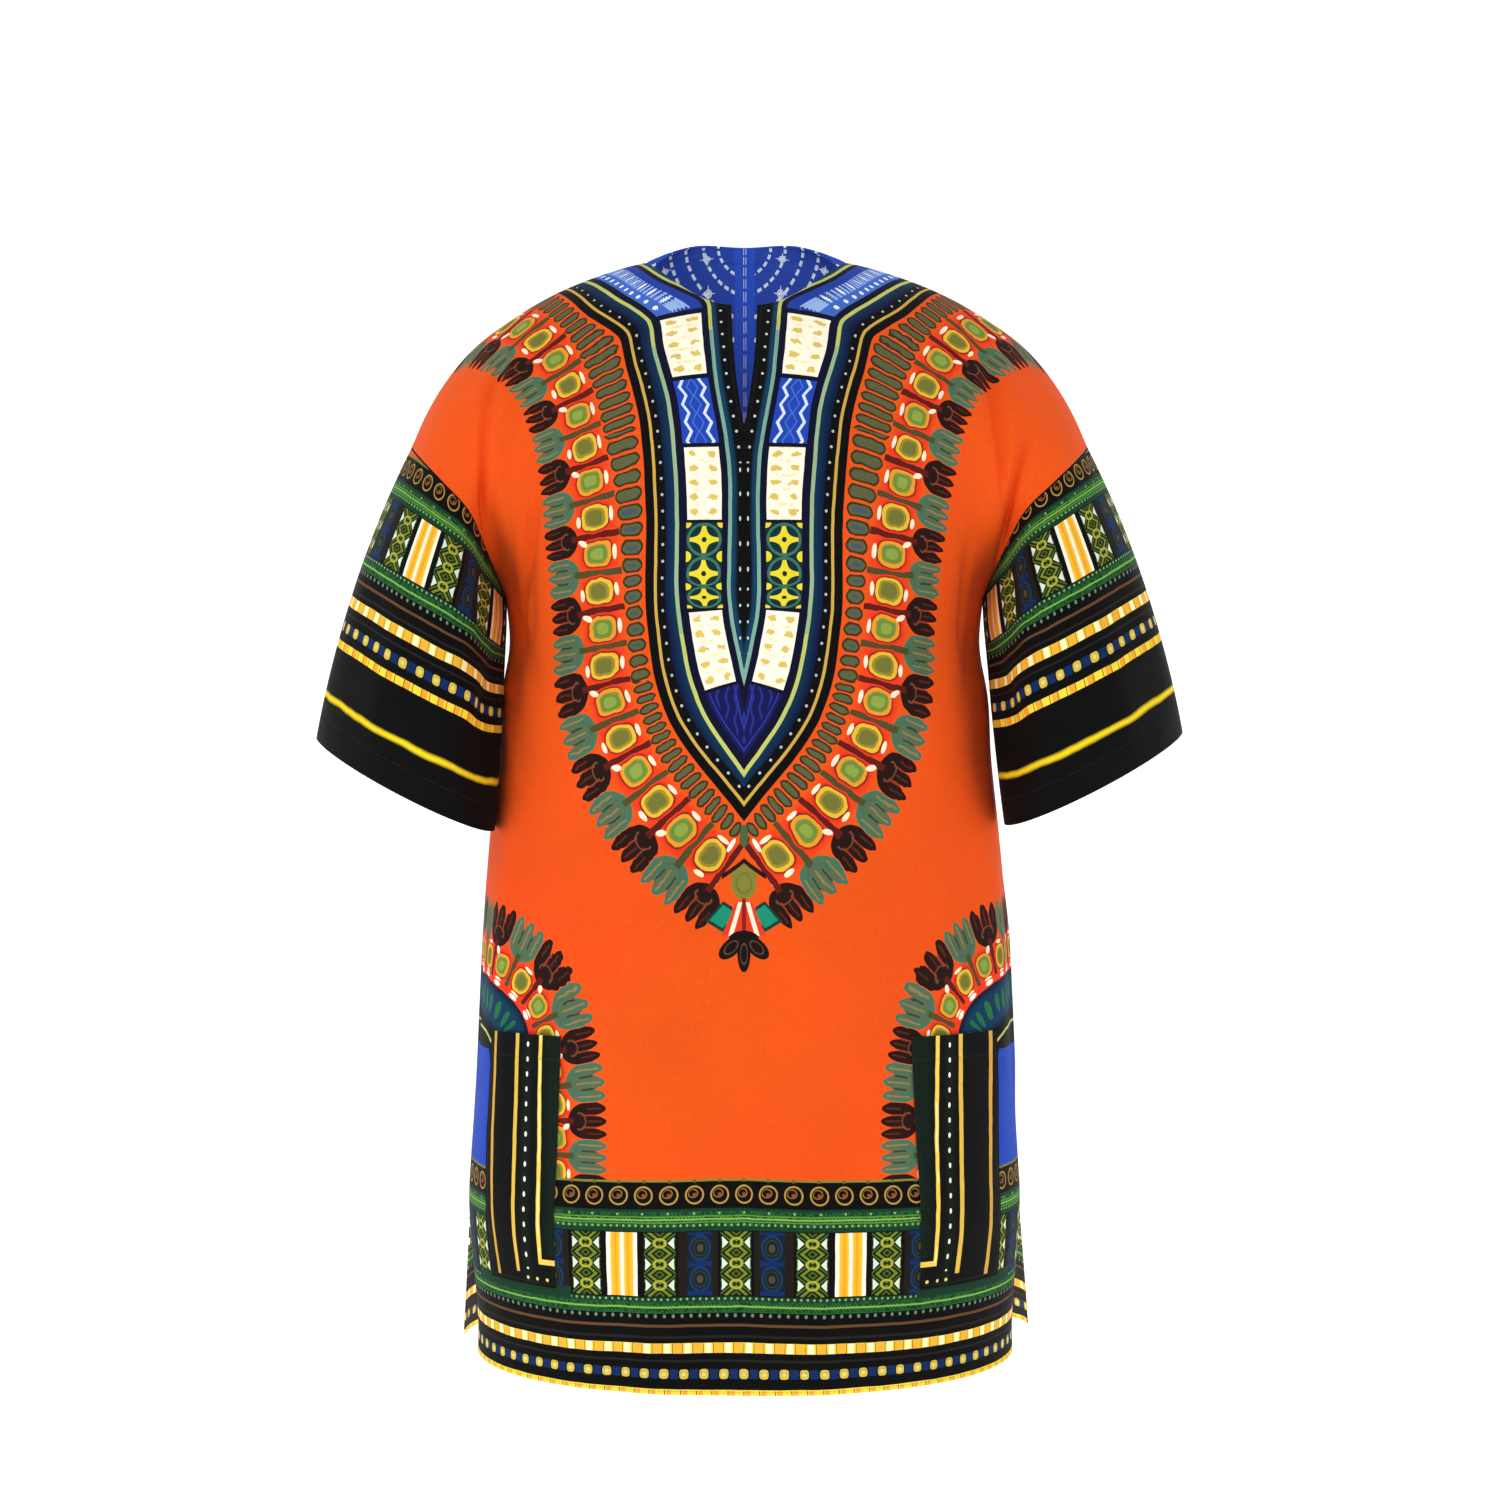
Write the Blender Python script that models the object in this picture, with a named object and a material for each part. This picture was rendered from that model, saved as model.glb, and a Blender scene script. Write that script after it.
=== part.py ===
"""Dashiki shirt: a hip-length cotton pullover with no wearer, kept in its worn, hollow shape.

Metres, +Z up. The front faces -Y and the wearer's left is +X. The origin lies midway between
the two points where the shoulder seams meet the neck opening. Every piece is a closed wall of
cloth: an outer skin worked out from the sizes below, and an inner skin one thickness inside it.
"""
import math

import bmesh
import bpy
import numpy as np

GARMENT = "dashiki_shirt"
CLOTH = 0.0014          # thickness of every wall
SEAM_GAP = 0.0003       # clear space between two pieces at a seam
SEAM_DRAW = 0.6         # share of the gap by which each piece draws back

# Heights, measured from the neck points of the shoulders
UNDERARM_Z = -0.235
POCKET_TOP_Z = -0.528
VENT_TOP_Z = -0.6347
POCKET_FOOT_Z = -0.688
HEM_Z = -0.749

# Sizes on the flat cloth
PANEL_HALF = 0.287      # half the width of the front or the back
POCKET_EDGES = {        # from the centre of the front to each pocket's two long edges
    -1: (0.129, 0.198),
    1: (0.118, 0.200),
}

# Neck opening
NECK_HALF = 0.073
NECK_ROUND_FRONT = 0.405    # how far down the front and back columns the opening is cut, where
NECK_ROUND_BACK = 0.279     # 0 is the shoulder seam and 1 the underarm level
SLIT_HALF = 0.0093          # half the width of the slit at its mouth
SLIT_TIP = 0.722            # its lower end, on the same scale
SLIT_CURVE = 2.4
NAPE_RISE = 0.047           # the back stands up round the nape
NAPE_SPREAD = 0.120

# Roundness of the shoulder from the seam down: 2 is a quarter ellipse, more is squarer
SHOULDER_POWER = {"front": 2.0, "back": 2.6}
SIDE_SEAM_Y = 0.008
ARC_STEPS = 200         # points used to measure a section along the cloth

# Shoulder seam: distance along the cloth from the centre, and its place
SHOULDER = (
    # along,    x,       z
    (0.000, 0.0000, 0.0000),
    (0.073, 0.0730, 0.0000),
    (0.105, 0.1035, -0.0085),
    (0.140, 0.1363, -0.0218),
    (0.175, 0.1661, -0.0395),
    (0.205, 0.1900, -0.0580),
    (0.235, 0.2093, -0.0810),
    (0.262, 0.2230, -0.1040),
    (0.287, 0.2340, -0.1290),
)

# Armhole seams, from the top of the shoulder down to the underarm
ARMHOLE = {
    "front": (
        # t,     x,      y,       z
        (0.00, 0.2340, 0.000, -0.1290),
        (0.20, 0.2220, -0.036, -0.1430),
        (0.40, 0.2030, -0.062, -0.1630),
        (0.55, 0.1855, -0.066, -0.1815),
        (0.75, 0.1755, -0.040, -0.2060),
        (1.00, 0.1670, 0.008, -0.2350),
    ),
    "back": (
        (0.00, 0.2340, 0.000, -0.1290),
        (0.20, 0.2230, 0.040, -0.1430),
        (0.40, 0.2070, 0.066, -0.1630),
        (0.55, 0.1910, 0.074, -0.1830),
        (0.75, 0.1780, 0.052, -0.2110),
        (1.00, 0.1670, 0.008, -0.2350),
    ),
}

# How the armhole draws the panel in: from this share of the half width, growing as this power
ARMHOLE_DRAW_START = 0.4
ARMHOLE_DRAW_POWER = 1.6

# Horizontal sections of the body, from the hem up to the underarms
BODY = (
    # z,   half width, depth in front, depth behind, roundness
    (-0.749, 0.1970, 0.144, 0.134, 2.26),
    (-0.580, 0.1870, 0.142, 0.129, 2.18),
    (-0.430, 0.1800, 0.138, 0.125, 2.10),
    (-0.390, 0.1765, 0.136, 0.123, 2.08),
    (-0.350, 0.1725, 0.135, 0.122, 2.08),
    (-0.300, 0.1690, 0.133, 0.121, 2.08),
    (-0.265, 0.1645, 0.131, 0.119, 2.08),
    (-0.235, 0.1670, 0.130, 0.118, 2.08),
)

# How far each side of each panel has moved at the hem, below the top of the side vent
VENT = {
    # (panel, side): outward, backward
    ("front", -1): (-0.014, -0.008),
    ("front", 1): (-0.013, -0.008),
    ("back", -1): (0.000, 0.012),
    ("back", 1): (0.006, 0.045),
}
VENT_POWER = 4          # how closely that movement keeps to the side

# Sleeve hem: its middle, half its width from outer to inner edge, half its depth
CUFF_MIDDLE = (0.2325, -0.028, -0.3630)
CUFF_OUTWARD = (0.0645, 0.026, 0.0330)
CUFF_DEPTH = 0.067
CUFF_DROP_FRONT = 0.006     # the front of the sleeve hem hangs lower than its edges
CUFF_DROP_BACK = -0.010
SLEEVE_BOW_OUTER = 0.004    # halfway down, its outer and inner edges bow away from its middle
SLEEVE_BOW_INNER = 0.004
SLEEVE_BOW_FORWARD = 0.020  # and all of it bows forward

# The left shoulder and sleeve hem sit a little further out than the right ones, and higher
LEAN_OUT = 0.007
LEAN_UP = 0.004
LEAN_FULL_X = 0.200     # the lean is full from this far out, and this far above the underarm
LEAN_FULL_RISE = 0.100

# Soft folds, as places on the flat cloth: from one end to the other, depth and half width.
# across is measured from the centre (the wearer's left is +), down from the shoulder seam.
FOLDS = {
    "front": (
        # across, down, across, down, depth, half width
        (-0.200, 0.060, -0.245, 0.230, 0.0060, 0.024),
        (-0.255, 0.130, -0.215, 0.350, -0.0050, 0.024),
        (0.205, 0.060, 0.248, 0.230, 0.0055, 0.023),
        (0.250, 0.180, 0.205, 0.410, -0.0045, 0.025),
        (-0.200, 0.330, -0.190, 0.700, 0.0050, 0.028),
        (0.215, 0.300, 0.205, 0.640, 0.0045, 0.026),
        (-0.030, 0.520, -0.012, 0.790, -0.0035, 0.026),
    ),
    "back": (
        (-0.205, 0.100, -0.245, 0.310, -0.0060, 0.026),
        (0.210, 0.110, 0.240, 0.300, -0.0060, 0.025),
        (-0.110, 0.330, -0.130, 0.800, -0.0060, 0.034),
        (0.090, 0.300, 0.120, 0.800, -0.0055, 0.032),
        (-0.010, 0.260, 0.006, 0.620, 0.0040, 0.032),
        (0.200, 0.420, 0.215, 0.800, 0.0050, 0.028),
        (-0.205, 0.400, -0.210, 0.800, 0.0050, 0.026),
    ),
    "sleeve": (
        # around (0 outer edge, 0.25 front, 0.5 inner edge, 0.75 back), down, ...
        (0.30, 0.010, 0.36, 0.150, 0.0040, 0.020),
        (0.44, 0.020, 0.40, 0.200, -0.0040, 0.020),
        (0.70, 0.010, 0.64, 0.160, 0.0045, 0.021),
        (0.16, 0.060, 0.12, 0.200, -0.0030, 0.022),
    ),
}
FOLD_END = 0.3          # share of a fold's length over which each end dies out
FOLD_FADE = 0.025       # folds die out this far from a seam
SLEEVE_ROUND = 0.405    # length round a sleeve
SLEEVE_DOWN = 0.205     # length of a sleeve

# Finish
ORANGE = (0.85, 0.11, 0.02)
STRIPE = (0.02, 0.02, 0.03)
MATT = 0.8
SHARP_EDGE = math.radians(50)

# Rows and columns of each wall
NECK_COLUMNS = 5
POCKET_COLUMNS = 5
SIDE_COLUMNS = 4
SLIT_ROWS = 6
CHEST_ROWS = 6
BODY_ROWS = 9
POCKET_ROWS = 6
HEM_ROWS = 3
SLEEVE_ROWS = 8


def smooth(x):
    """Ease from 0 to 1 as x goes from 0 to 1, flat at both ends."""
    x = np.clip(x, 0.0, 1.0)
    return x * x * (3.0 - 2.0 * x)


def through(table, at):
    """Cubic curve through the rows of a table, read at the values of its first column."""
    rows = np.array(table)
    keys, values = rows[:, 0], rows[:, 1:]
    slopes = np.gradient(values, keys, axis=0)
    at = np.asarray(at, dtype=float)
    i = np.clip(np.searchsorted(keys, at, side="right") - 1, 0, len(keys) - 2)
    span = (keys[i + 1] - keys[i])[..., None]
    s = ((at - keys[i])[..., None]) / span
    return ((2 * s**3 - 3 * s**2 + 1) * values[i] + (s**3 - 2 * s**2 + s) * span * slopes[i]
            + (3 * s**2 - 2 * s**3) * values[i + 1] + (s**3 - s**2) * span * slopes[i + 1])


def section(panel, side, q, z):
    """Point of a horizontal section: q is 0 at the centre of the panel and 1 at its side."""
    half, front, back, roundness = np.moveaxis(through(BODY, z), -1, 0)
    out, rear = VENT[panel, side]
    opened = smooth((VENT_TOP_Z - z) / (VENT_TOP_Z - HEM_Z))
    turn = q * math.pi / 2
    power = 2.0 / roundness
    depth = -(front + SIDE_SEAM_Y) if panel == "front" else back - SIDE_SEAM_Y
    x = (half + out * opened) * np.sin(turn) ** power
    y = SIDE_SEAM_Y + depth * np.cos(turn) ** power + rear * opened * q**VENT_POWER
    return np.stack([side * x, y, z], axis=-1)


def even_section(panel, side, q, z):
    """The same section, with q measured along the cloth."""
    steps = np.linspace(0.0, 1.0, ARC_STEPS)
    ring = section(panel, side, steps, np.full_like(steps, UNDERARM_Z))
    run = np.concatenate([[0.0], np.cumsum(np.linalg.norm(np.diff(ring, axis=0), axis=1))])
    return section(panel, side, np.interp(q, run / run[-1], steps), z)


def shoulder(side, across):
    """Point of the shoulder seam at a distance from the centre."""
    x, z = np.moveaxis(through(SHOULDER, across), -1, 0)
    return np.stack([side * x, np.zeros_like(x), z], axis=-1)


def lean(points):
    """Move the left shoulder outward, fading towards the neck and the underarm."""
    share = smooth(points[..., 0] / LEAN_FULL_X)
    share = share * smooth((points[..., 2] - UNDERARM_Z) / LEAN_FULL_RISE)
    return points + share[..., None] * [LEAN_OUT, 0, 0]


def upper(panel, side, across, t):
    """Point between the shoulder seam (t = 0) and the underarm level (t = 1)."""
    q = across / PANEL_HALF
    start = shoulder(side, across)
    end = even_section(panel, side, q, np.full_like(q, UNDERARM_Z))
    power = 2.0 / SHOULDER_POWER[panel]
    forward = np.sin(t * math.pi / 2) ** power
    downward = 1.0 - np.cos(t * math.pi / 2) ** power
    share = np.stack([forward, forward, downward], axis=-1)
    point = start + (end - start) * share
    if panel == "back":
        stand = smooth(t / NECK_ROUND_BACK) * np.cos(
            np.clip((t - NECK_ROUND_BACK) / (1 - NECK_ROUND_BACK), 0, 1) * math.pi / 2) ** 2
        point[..., 2] += NAPE_RISE * np.exp(-(across / NAPE_SPREAD) ** 2) * stand
    seam = through(ARMHOLE[panel], t) * [side, 1, 1]
    edge_start, edge_end = through(ARMHOLE[panel], 0.0), through(ARMHOLE[panel], 1.0)
    chord = edge_start + (edge_end - edge_start) * share
    near = np.clip((q - ARMHOLE_DRAW_START) / (1 - ARMHOLE_DRAW_START), 0, 1)
    draw = near[..., None] ** ARMHOLE_DRAW_POWER
    return lean(point + draw * (seam - chord * [side, 1, 1]))


def fold_height(kind, across, down):
    """How far the folds lift the cloth: each is a soft ridge or trough that fades at its ends."""
    lift = np.zeros_like(across)
    for a0, d0, a1, d1, depth, half_width in FOLDS[kind]:
        if kind == "sleeve":
            a0, a1 = a0 * SLEEVE_ROUND, a1 * SLEEVE_ROUND
        run = np.array([a1 - a0, d1 - d0])
        length = np.hypot(*run)
        along = ((across - a0) * run[0] + (down - d0) * run[1]) / length**2
        beside = ((across - a0) * run[1] - (down - d0) * run[0]) / length
        ends = smooth(along / FOLD_END) * smooth((1.0 - along) / FOLD_END)
        lift += depth * ends * np.exp(-(beside / half_width) ** 2)
    to_seam = SLEEVE_DOWN if kind == "sleeve" else PANEL_HALF - np.abs(across)
    return lift * smooth(down / FOLD_FADE) * smooth(to_seam / FOLD_FADE)


def facing(points):
    """Direction square to a grid of points: rows run down and columns to the viewer's right."""
    return unit(np.cross(np.gradient(points, axis=0), np.gradient(points, axis=1)))


def chest_rows():
    """Share of the way from neck or shoulder seam to the underarm, for each row."""
    slit = (SLIT_TIP - NECK_ROUND_FRONT) / (1 - NECK_ROUND_FRONT)
    return np.concatenate([np.linspace(0, slit, SLIT_ROWS + 1),
                           np.linspace(slit, 1, CHEST_ROWS + 1)[1:]])


def lower_rows():
    """Heights of the rows below the underarm, with one on each edge of the pockets."""
    return np.concatenate([np.linspace(UNDERARM_Z, POCKET_TOP_Z, BODY_ROWS + 1)[1:],
                           np.linspace(POCKET_TOP_Z, POCKET_FOOT_Z, POCKET_ROWS + 1)[1:],
                           np.linspace(POCKET_FOOT_Z, HEM_Z, HEM_ROWS + 1)[1:]])


def column_places(side, lower_share):
    """Distance of each column from the centre: even round the neck, on the pocket edges below."""
    inner, outer = POCKET_EDGES[side]
    outside = POCKET_COLUMNS + SIDE_COLUMNS
    neck = NECK_HALF * np.sin(np.linspace(0, math.pi / 2, NECK_COLUMNS + 1))
    high = np.concatenate([neck, np.linspace(NECK_HALF, PANEL_HALF, outside + 1)[1:]])
    low = np.concatenate([np.linspace(0, inner, NECK_COLUMNS + 1),
                          np.linspace(inner, outer, POCKET_COLUMNS + 1)[1:],
                          np.linspace(outer, PANEL_HALF, SIDE_COLUMNS + 1)[1:]])
    return high + (low - high) * lower_share


def half_panel(panel, side):
    """Outer skin of half a front or back: rows down from the top, columns out from the centre."""
    rows = chest_rows()[:, None]
    across = column_places(side, smooth(rows))
    cut = NECK_ROUND_FRONT if panel == "front" else NECK_ROUND_BACK
    top = cut * np.sqrt(np.clip(1 - (across[0] / NECK_HALF) ** 2, 0, 1))
    t = top + (1 - top) * rows
    if panel == "front":
        slit = SLIT_HALF * (1 - np.clip(rows / rows[SLIT_ROWS], 0, 1) ** SLIT_CURVE)
        across = across + slit * np.clip(1 - across / NECK_HALF, 0, 1)
    z = np.repeat(lower_rows()[:, None], across.shape[1], axis=1)
    low_across = np.repeat(column_places(side, 1.0)[None, :], len(z), axis=0)
    points = np.concatenate([upper(panel, side, across, t),
                             even_section(panel, side, low_across / PANEL_HALF, z)])
    lift = fold_height(panel, side * np.concatenate([across, low_across]),
                       np.concatenate([t * -UNDERARM_Z, -z]))
    outward = side if panel == "front" else -side
    return points + facing(points) * outward * lift[..., None]


def grid_faces(rows, columns, closed=False):
    """Corner numbers of the faces of a grid: down, right, up and back again."""
    last = columns if closed else columns - 1
    corners = [(r * columns + c, r * columns + (c + 1) % columns)
               for r in range(rows - 1) for c in range(last)]
    return [(a, a + columns, b + columns, b) for a, b in corners]


def panel_skin(panel):
    """Outer skin of a whole front or back, its halves joined on the centre below any slit."""
    left, right = half_panel(panel, -1), half_panel(panel, 1)
    rows, half = left.shape[:2]
    whole = SLIT_ROWS if panel == "front" else 0
    left[whole:, 0] = right[whole:, 0] = (left[whole:, 0] + right[whole:, 0]) / 2
    points = np.concatenate([left[:, ::-1], right], axis=1).reshape(-1, 3)
    centre = {r * 2 * half + half: r * 2 * half + half - 1 for r in range(whole, rows)}
    faces = [[centre.get(v, v) for v in face] for face in grid_faces(rows, 2 * half)
             if face[0] % (2 * half) != half - 1]
    if panel == "back":
        faces = [face[::-1] for face in faces]
    return points, faces


def sleeve_skin(side):
    """Outer skin of a sleeve: rows from armhole to cuff, columns once round it from the top."""
    t = chest_rows()
    front, back = through(ARMHOLE["front"], t), through(ARMHOLE["back"], t)[-2:0:-1]
    armhole = lean(np.concatenate([front, back]) * [side, 1, 1])
    around = np.concatenate([t / 2, 1 - t[-2:0:-1] / 2])
    outer, fore = np.cos(around * 2 * math.pi), np.sin(around * 2 * math.pi)
    cuff = (CUFF_MIDDLE + outer[:, None] * CUFF_OUTWARD - fore[:, None] * [0, CUFF_DEPTH, 0])
    cuff[:, 2] -= np.abs(fore) * np.where(fore > 0, CUFF_DROP_FRONT, CUFF_DROP_BACK)
    if side > 0:
        cuff += [LEAN_OUT, 0, LEAN_UP]
    down = np.linspace(0, 1, SLEEVE_ROWS + 1)[:, None]
    bow = (4 * down * (1 - down))[..., None]
    points = armhole + (cuff * [side, 1, 1] - armhole) * down[..., None]
    edge_bow = outer * np.where(outer > 0, SLEEVE_BOW_OUTER, SLEEVE_BOW_INNER)
    points = points + bow * edge_bow[:, None] * [side, 0, 0] - bow * [0, SLEEVE_BOW_FORWARD, 0]
    lift = fold_height("sleeve", around * SLEEVE_ROUND + 0 * down, down * SLEEVE_DOWN + 0 * around)
    points = points - facing(points) * side * lift[..., None]
    faces = grid_faces(*points.shape[:2], closed=True)
    if side > 0:
        faces = [face[::-1] for face in faces]
    return points.reshape(-1, 3), faces


def vertex_normals(points, faces):
    """Outward direction at each point, from the faces round it."""
    a, b, c, d = np.array(faces).T
    square = np.cross(points[c] - points[a], points[d] - points[b])
    normals = np.zeros_like(points)
    for corner in (a, b, c, d):
        np.add.at(normals, corner, square)
    return unit(normals)


def share_seams(skins):
    """Give pieces that run on into each other one direction along their seam, and draw each back.

    Where two pieces meet back to back, as under the arm, each keeps its own direction.
    """
    names = list(skins)
    points = np.concatenate([skins[name][0] for name in names])
    owner = np.concatenate([np.full(len(skins[name][0]), i) for i, name in enumerate(names)])
    own = np.concatenate([vertex_normals(*skins[name]) for name in names])
    inward = np.concatenate([towards_cloth(*skins[name]) for name in names])
    apart = np.linalg.norm(points[:, None] - points[None], axis=-1)
    meets = (apart < SEAM_GAP) & (owner[:, None] != owner[None])
    shared = own + (meets * smooth(0.5 + 2 * own @ own.T)) @ own
    shared = unit(shared)
    points = points + np.where(meets.any(axis=1)[:, None], inward * SEAM_GAP * SEAM_DRAW, 0)
    return {name: (points[owner == i], shared[owner == i], skins[name][1])
            for i, name in enumerate(names)}


def unit(vectors):
    """The same directions with length 1, and zero where there is none."""
    length = np.linalg.norm(vectors, axis=-1, keepdims=True)
    return vectors / np.where(length > 0, length, 1)


def towards_cloth(points, faces):
    """Direction from each point to the middle of the faces round it."""
    corners = np.array(faces)
    middle = points[corners].mean(axis=1)
    total, count = np.zeros_like(points), np.zeros(len(points))
    for corner in corners.T:
        np.add.at(total, corner, middle)
        np.add.at(count, corner, 1)
    return unit(total / np.maximum(count, 1)[:, None] - points)


def cloth_wall(name, outer, normals, faces, colour, roughness):
    """Closed wall of cloth: the outer skin, an inner skin one thickness in, and the cut edges.

    Each face of a cut edge is split from its higher outer corner, so that the two pieces at a
    seam are split alike.
    """
    used = sorted({v for face in faces for v in face})
    number = {v: i for i, v in enumerate(used)}
    count = len(used)
    mesh = bmesh.new()
    for point in np.concatenate([outer[used], outer[used] - normals[used] * CLOTH]):
        mesh.verts.new(point)
    mesh.verts.ensure_lookup_table()
    verts = mesh.verts
    edges = {}
    for face in faces:
        a, b, c, d = (number[v] for v in face)
        for corners in ((a, b, c), (a, c, d)):
            mesh.faces.new([verts[v] for v in corners])
            mesh.faces.new([verts[v + count] for v in reversed(corners)])
        for start, end in ((a, b), (b, c), (c, d), (d, a)):
            edges[start, end] = (end, start) not in edges
            if not edges[start, end]:
                edges[end, start] = False
    for (start, end), is_rim in edges.items():
        if is_rim:
            ring = [end, start, start + count, end + count]
            if outer[used[start], 2] > outer[used[end], 2]:
                ring = ring[1:] + ring[:1]
            mesh.faces.new([verts[v] for v in ring[:3]])
            mesh.faces.new([verts[v] for v in (ring[0], ring[2], ring[3])])
    data = bpy.data.meshes.new(name)
    mesh.to_mesh(data)
    mesh.free()
    data.shade_smooth()
    data.set_sharp_from_angle(angle=SHARP_EDGE)
    data.materials.append(cotton(name, colour, roughness))
    piece = bpy.data.objects.new(name, data)
    bpy.data.collections[GARMENT].objects.link(piece)
    return piece


def cotton(name, colour, roughness):
    """Plain woven cotton in one colour."""
    material = bpy.data.materials.new(name + "_cotton")
    material.use_nodes = True
    shader = material.node_tree.nodes["Principled BSDF"]
    shader.inputs["Base Color"].default_value = (*colour, 1.0)
    shader.inputs["Roughness"].default_value = roughness
    return material


def pocket(name, side, front):
    """Patch pocket: the front's own points between the pocket's edges, moved out."""
    points, normals, _ = front
    half = NECK_COLUMNS + POCKET_COLUMNS + SIDE_COLUMNS + 1
    first_row = SLIT_ROWS + CHEST_ROWS + BODY_ROWS
    rows = slice(first_row, first_row + POCKET_ROWS + 1)
    inner, outer = NECK_COLUMNS, NECK_COLUMNS + POCKET_COLUMNS
    if side > 0:
        places = slice(half + inner, half + outer + 1)
    else:
        places = slice(half - 1 - outer, half - inner)
    patch = points.reshape(-1, 2 * half, 3)[rows, places]
    square = normals.reshape(-1, 2 * half, 3)[rows, places].reshape(-1, 3)
    patch_outer = patch.reshape(-1, 3) + square * (SEAM_GAP + CLOTH)
    return cloth_wall(name, patch_outer, square, grid_faces(*patch.shape[:2]), STRIPE, MATT)


for old in list(bpy.data.objects):
    bpy.data.objects.remove(old)
bpy.context.scene.collection.children.link(bpy.data.collections.new(GARMENT))

cut_pieces = share_seams({
    "front_panel": panel_skin("front"),
    "back_panel": panel_skin("back"),
    "sleeve_right": sleeve_skin(-1),
    "sleeve_left": sleeve_skin(1),
})
for piece_name, (skin, directions, skin_faces) in cut_pieces.items():
    cloth_wall(piece_name, skin, directions, skin_faces, ORANGE, MATT)
pocket("pocket_right", -1, cut_pieces["front_panel"])
pocket("pocket_left", 1, cut_pieces["front_panel"])
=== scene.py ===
"""Dashiki shirt with no wearer, kept in its worn, hollow shape: six pieces of printed cotton.

Metres, +Z up. The front faces -Y and the wearer's left is +X. The origin lies midway between
the two points where the shoulder seams meet the neck opening.
"""
from functools import partialmethod
import math

import bpy
import numpy as np
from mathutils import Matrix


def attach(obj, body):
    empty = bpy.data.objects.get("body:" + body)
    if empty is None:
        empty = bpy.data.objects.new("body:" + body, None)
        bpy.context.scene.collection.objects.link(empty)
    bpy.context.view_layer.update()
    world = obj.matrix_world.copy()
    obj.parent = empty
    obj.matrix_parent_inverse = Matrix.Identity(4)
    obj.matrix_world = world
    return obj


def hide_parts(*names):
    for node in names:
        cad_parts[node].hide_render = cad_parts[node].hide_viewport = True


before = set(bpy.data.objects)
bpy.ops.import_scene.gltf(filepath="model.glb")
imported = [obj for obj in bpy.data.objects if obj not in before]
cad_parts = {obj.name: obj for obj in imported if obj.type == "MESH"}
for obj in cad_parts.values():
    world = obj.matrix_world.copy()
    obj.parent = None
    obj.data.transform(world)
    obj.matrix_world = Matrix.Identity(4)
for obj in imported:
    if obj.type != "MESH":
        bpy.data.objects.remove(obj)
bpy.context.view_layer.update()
bpy.context.scene.view_settings.view_transform = "Standard"

# Front panel
# One width of wax-printed cotton, cut with a round neck and a narrow slit, turned under and
# stitched at the neck, the slit and the hem. It is sewn to the back along the shoulders and
# the sides, and to the sleeves round the armholes; below the hips the sides are open vents.
CLOTH = 0.0010              # thickness of the cloth
SEAM_DRAW = 0.00003         # how far each piece stands back from a seam
UNDERARM_Z = -0.235
VENT_TOP_Z = -0.6347
HEM_Z = -0.749
PANEL_HALF = 0.287          # half the width of the cut panel
NECK_HALF = 0.073
NECK_ROUND = {"front": 0.405, "back": 0.279}    # depth of the opening as a share of the chest
SLIT_HALF = 0.0093
SLIT_TIP = 0.722
SLIT_CURVE = 2.4
NAPE_RISE = 0.047
NAPE_SPREAD = 0.120
SHOULDER_POWER = {"front": 2.0, "back": 2.6}
SIDE_SEAM_Y = 0.008
ARMHOLE_DRAW_START = 0.4
ARMHOLE_DRAW_POWER = 1.6
VENT_POWER = 4
LEAN_OUT = 0.007            # the left shoulder sits a little further out than the right
LEAN_UP = 0.004             # and the left cuff this much higher
LEAN_FULL_X = 0.200
LEAN_FULL_RISE = 0.100
SLEEVE_ROUND = 0.405
SLEEVE_DOWN = 0.205
FOLD_END = 0.3
FOLD_FADE = 0.025
SLIT_ROWS, CHEST_ROWS, LOWER_ROWS = 58, 32, 148
NECK_COLUMNS, SIDE_COLUMNS = 24, 71
LINE_STEPS = 72             # straight steps in each drawn line of the print
SHARP_EDGE = math.radians(60)

SHOULDER = (                # along the seam from the centre, then its x and z
    (0.000, 0.0000, 0.0000), (0.073, 0.0730, 0.0000), (0.105, 0.1035, -0.0085),
    (0.140, 0.1363, -0.0218), (0.175, 0.1661, -0.0395), (0.205, 0.1900, -0.0580),
    (0.235, 0.2093, -0.0810), (0.262, 0.2230, -0.1040), (0.287, 0.2340, -0.1290))
ARMHOLE = {                 # share of the way down, then x, y and z
    "front": ((0.00, 0.2340, 0.000, -0.1290), (0.20, 0.2220, -0.036, -0.1430),
              (0.40, 0.2030, -0.062, -0.1630), (0.55, 0.1855, -0.066, -0.1815),
              (0.75, 0.1755, -0.040, -0.2060), (1.00, 0.1670, 0.008, -0.2350)),
    "back": ((0.00, 0.2340, 0.000, -0.1290), (0.20, 0.2230, 0.040, -0.1430),
             (0.40, 0.2070, 0.066, -0.1630), (0.55, 0.1910, 0.074, -0.1830),
             (0.75, 0.1780, 0.052, -0.2110), (1.00, 0.1670, 0.008, -0.2350))}
BODY = (                    # height, half width, depth in front, depth behind, roundness
    (-0.749, 0.1970, 0.144, 0.134, 2.26), (-0.580, 0.1870, 0.142, 0.129, 2.18),
    (-0.430, 0.1800, 0.138, 0.125, 2.10), (-0.390, 0.1765, 0.136, 0.123, 2.08),
    (-0.350, 0.1725, 0.135, 0.122, 2.08), (-0.300, 0.1690, 0.133, 0.121, 2.08),
    (-0.265, 0.1645, 0.131, 0.119, 2.08), (-0.235, 0.1670, 0.130, 0.118, 2.08))
VENT = {("front", -1): (-0.014, -0.008), ("front", 1): (-0.013, -0.008),
        ("back", -1): (0.000, 0.012), ("back", 1): (0.006, 0.045)}

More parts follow.
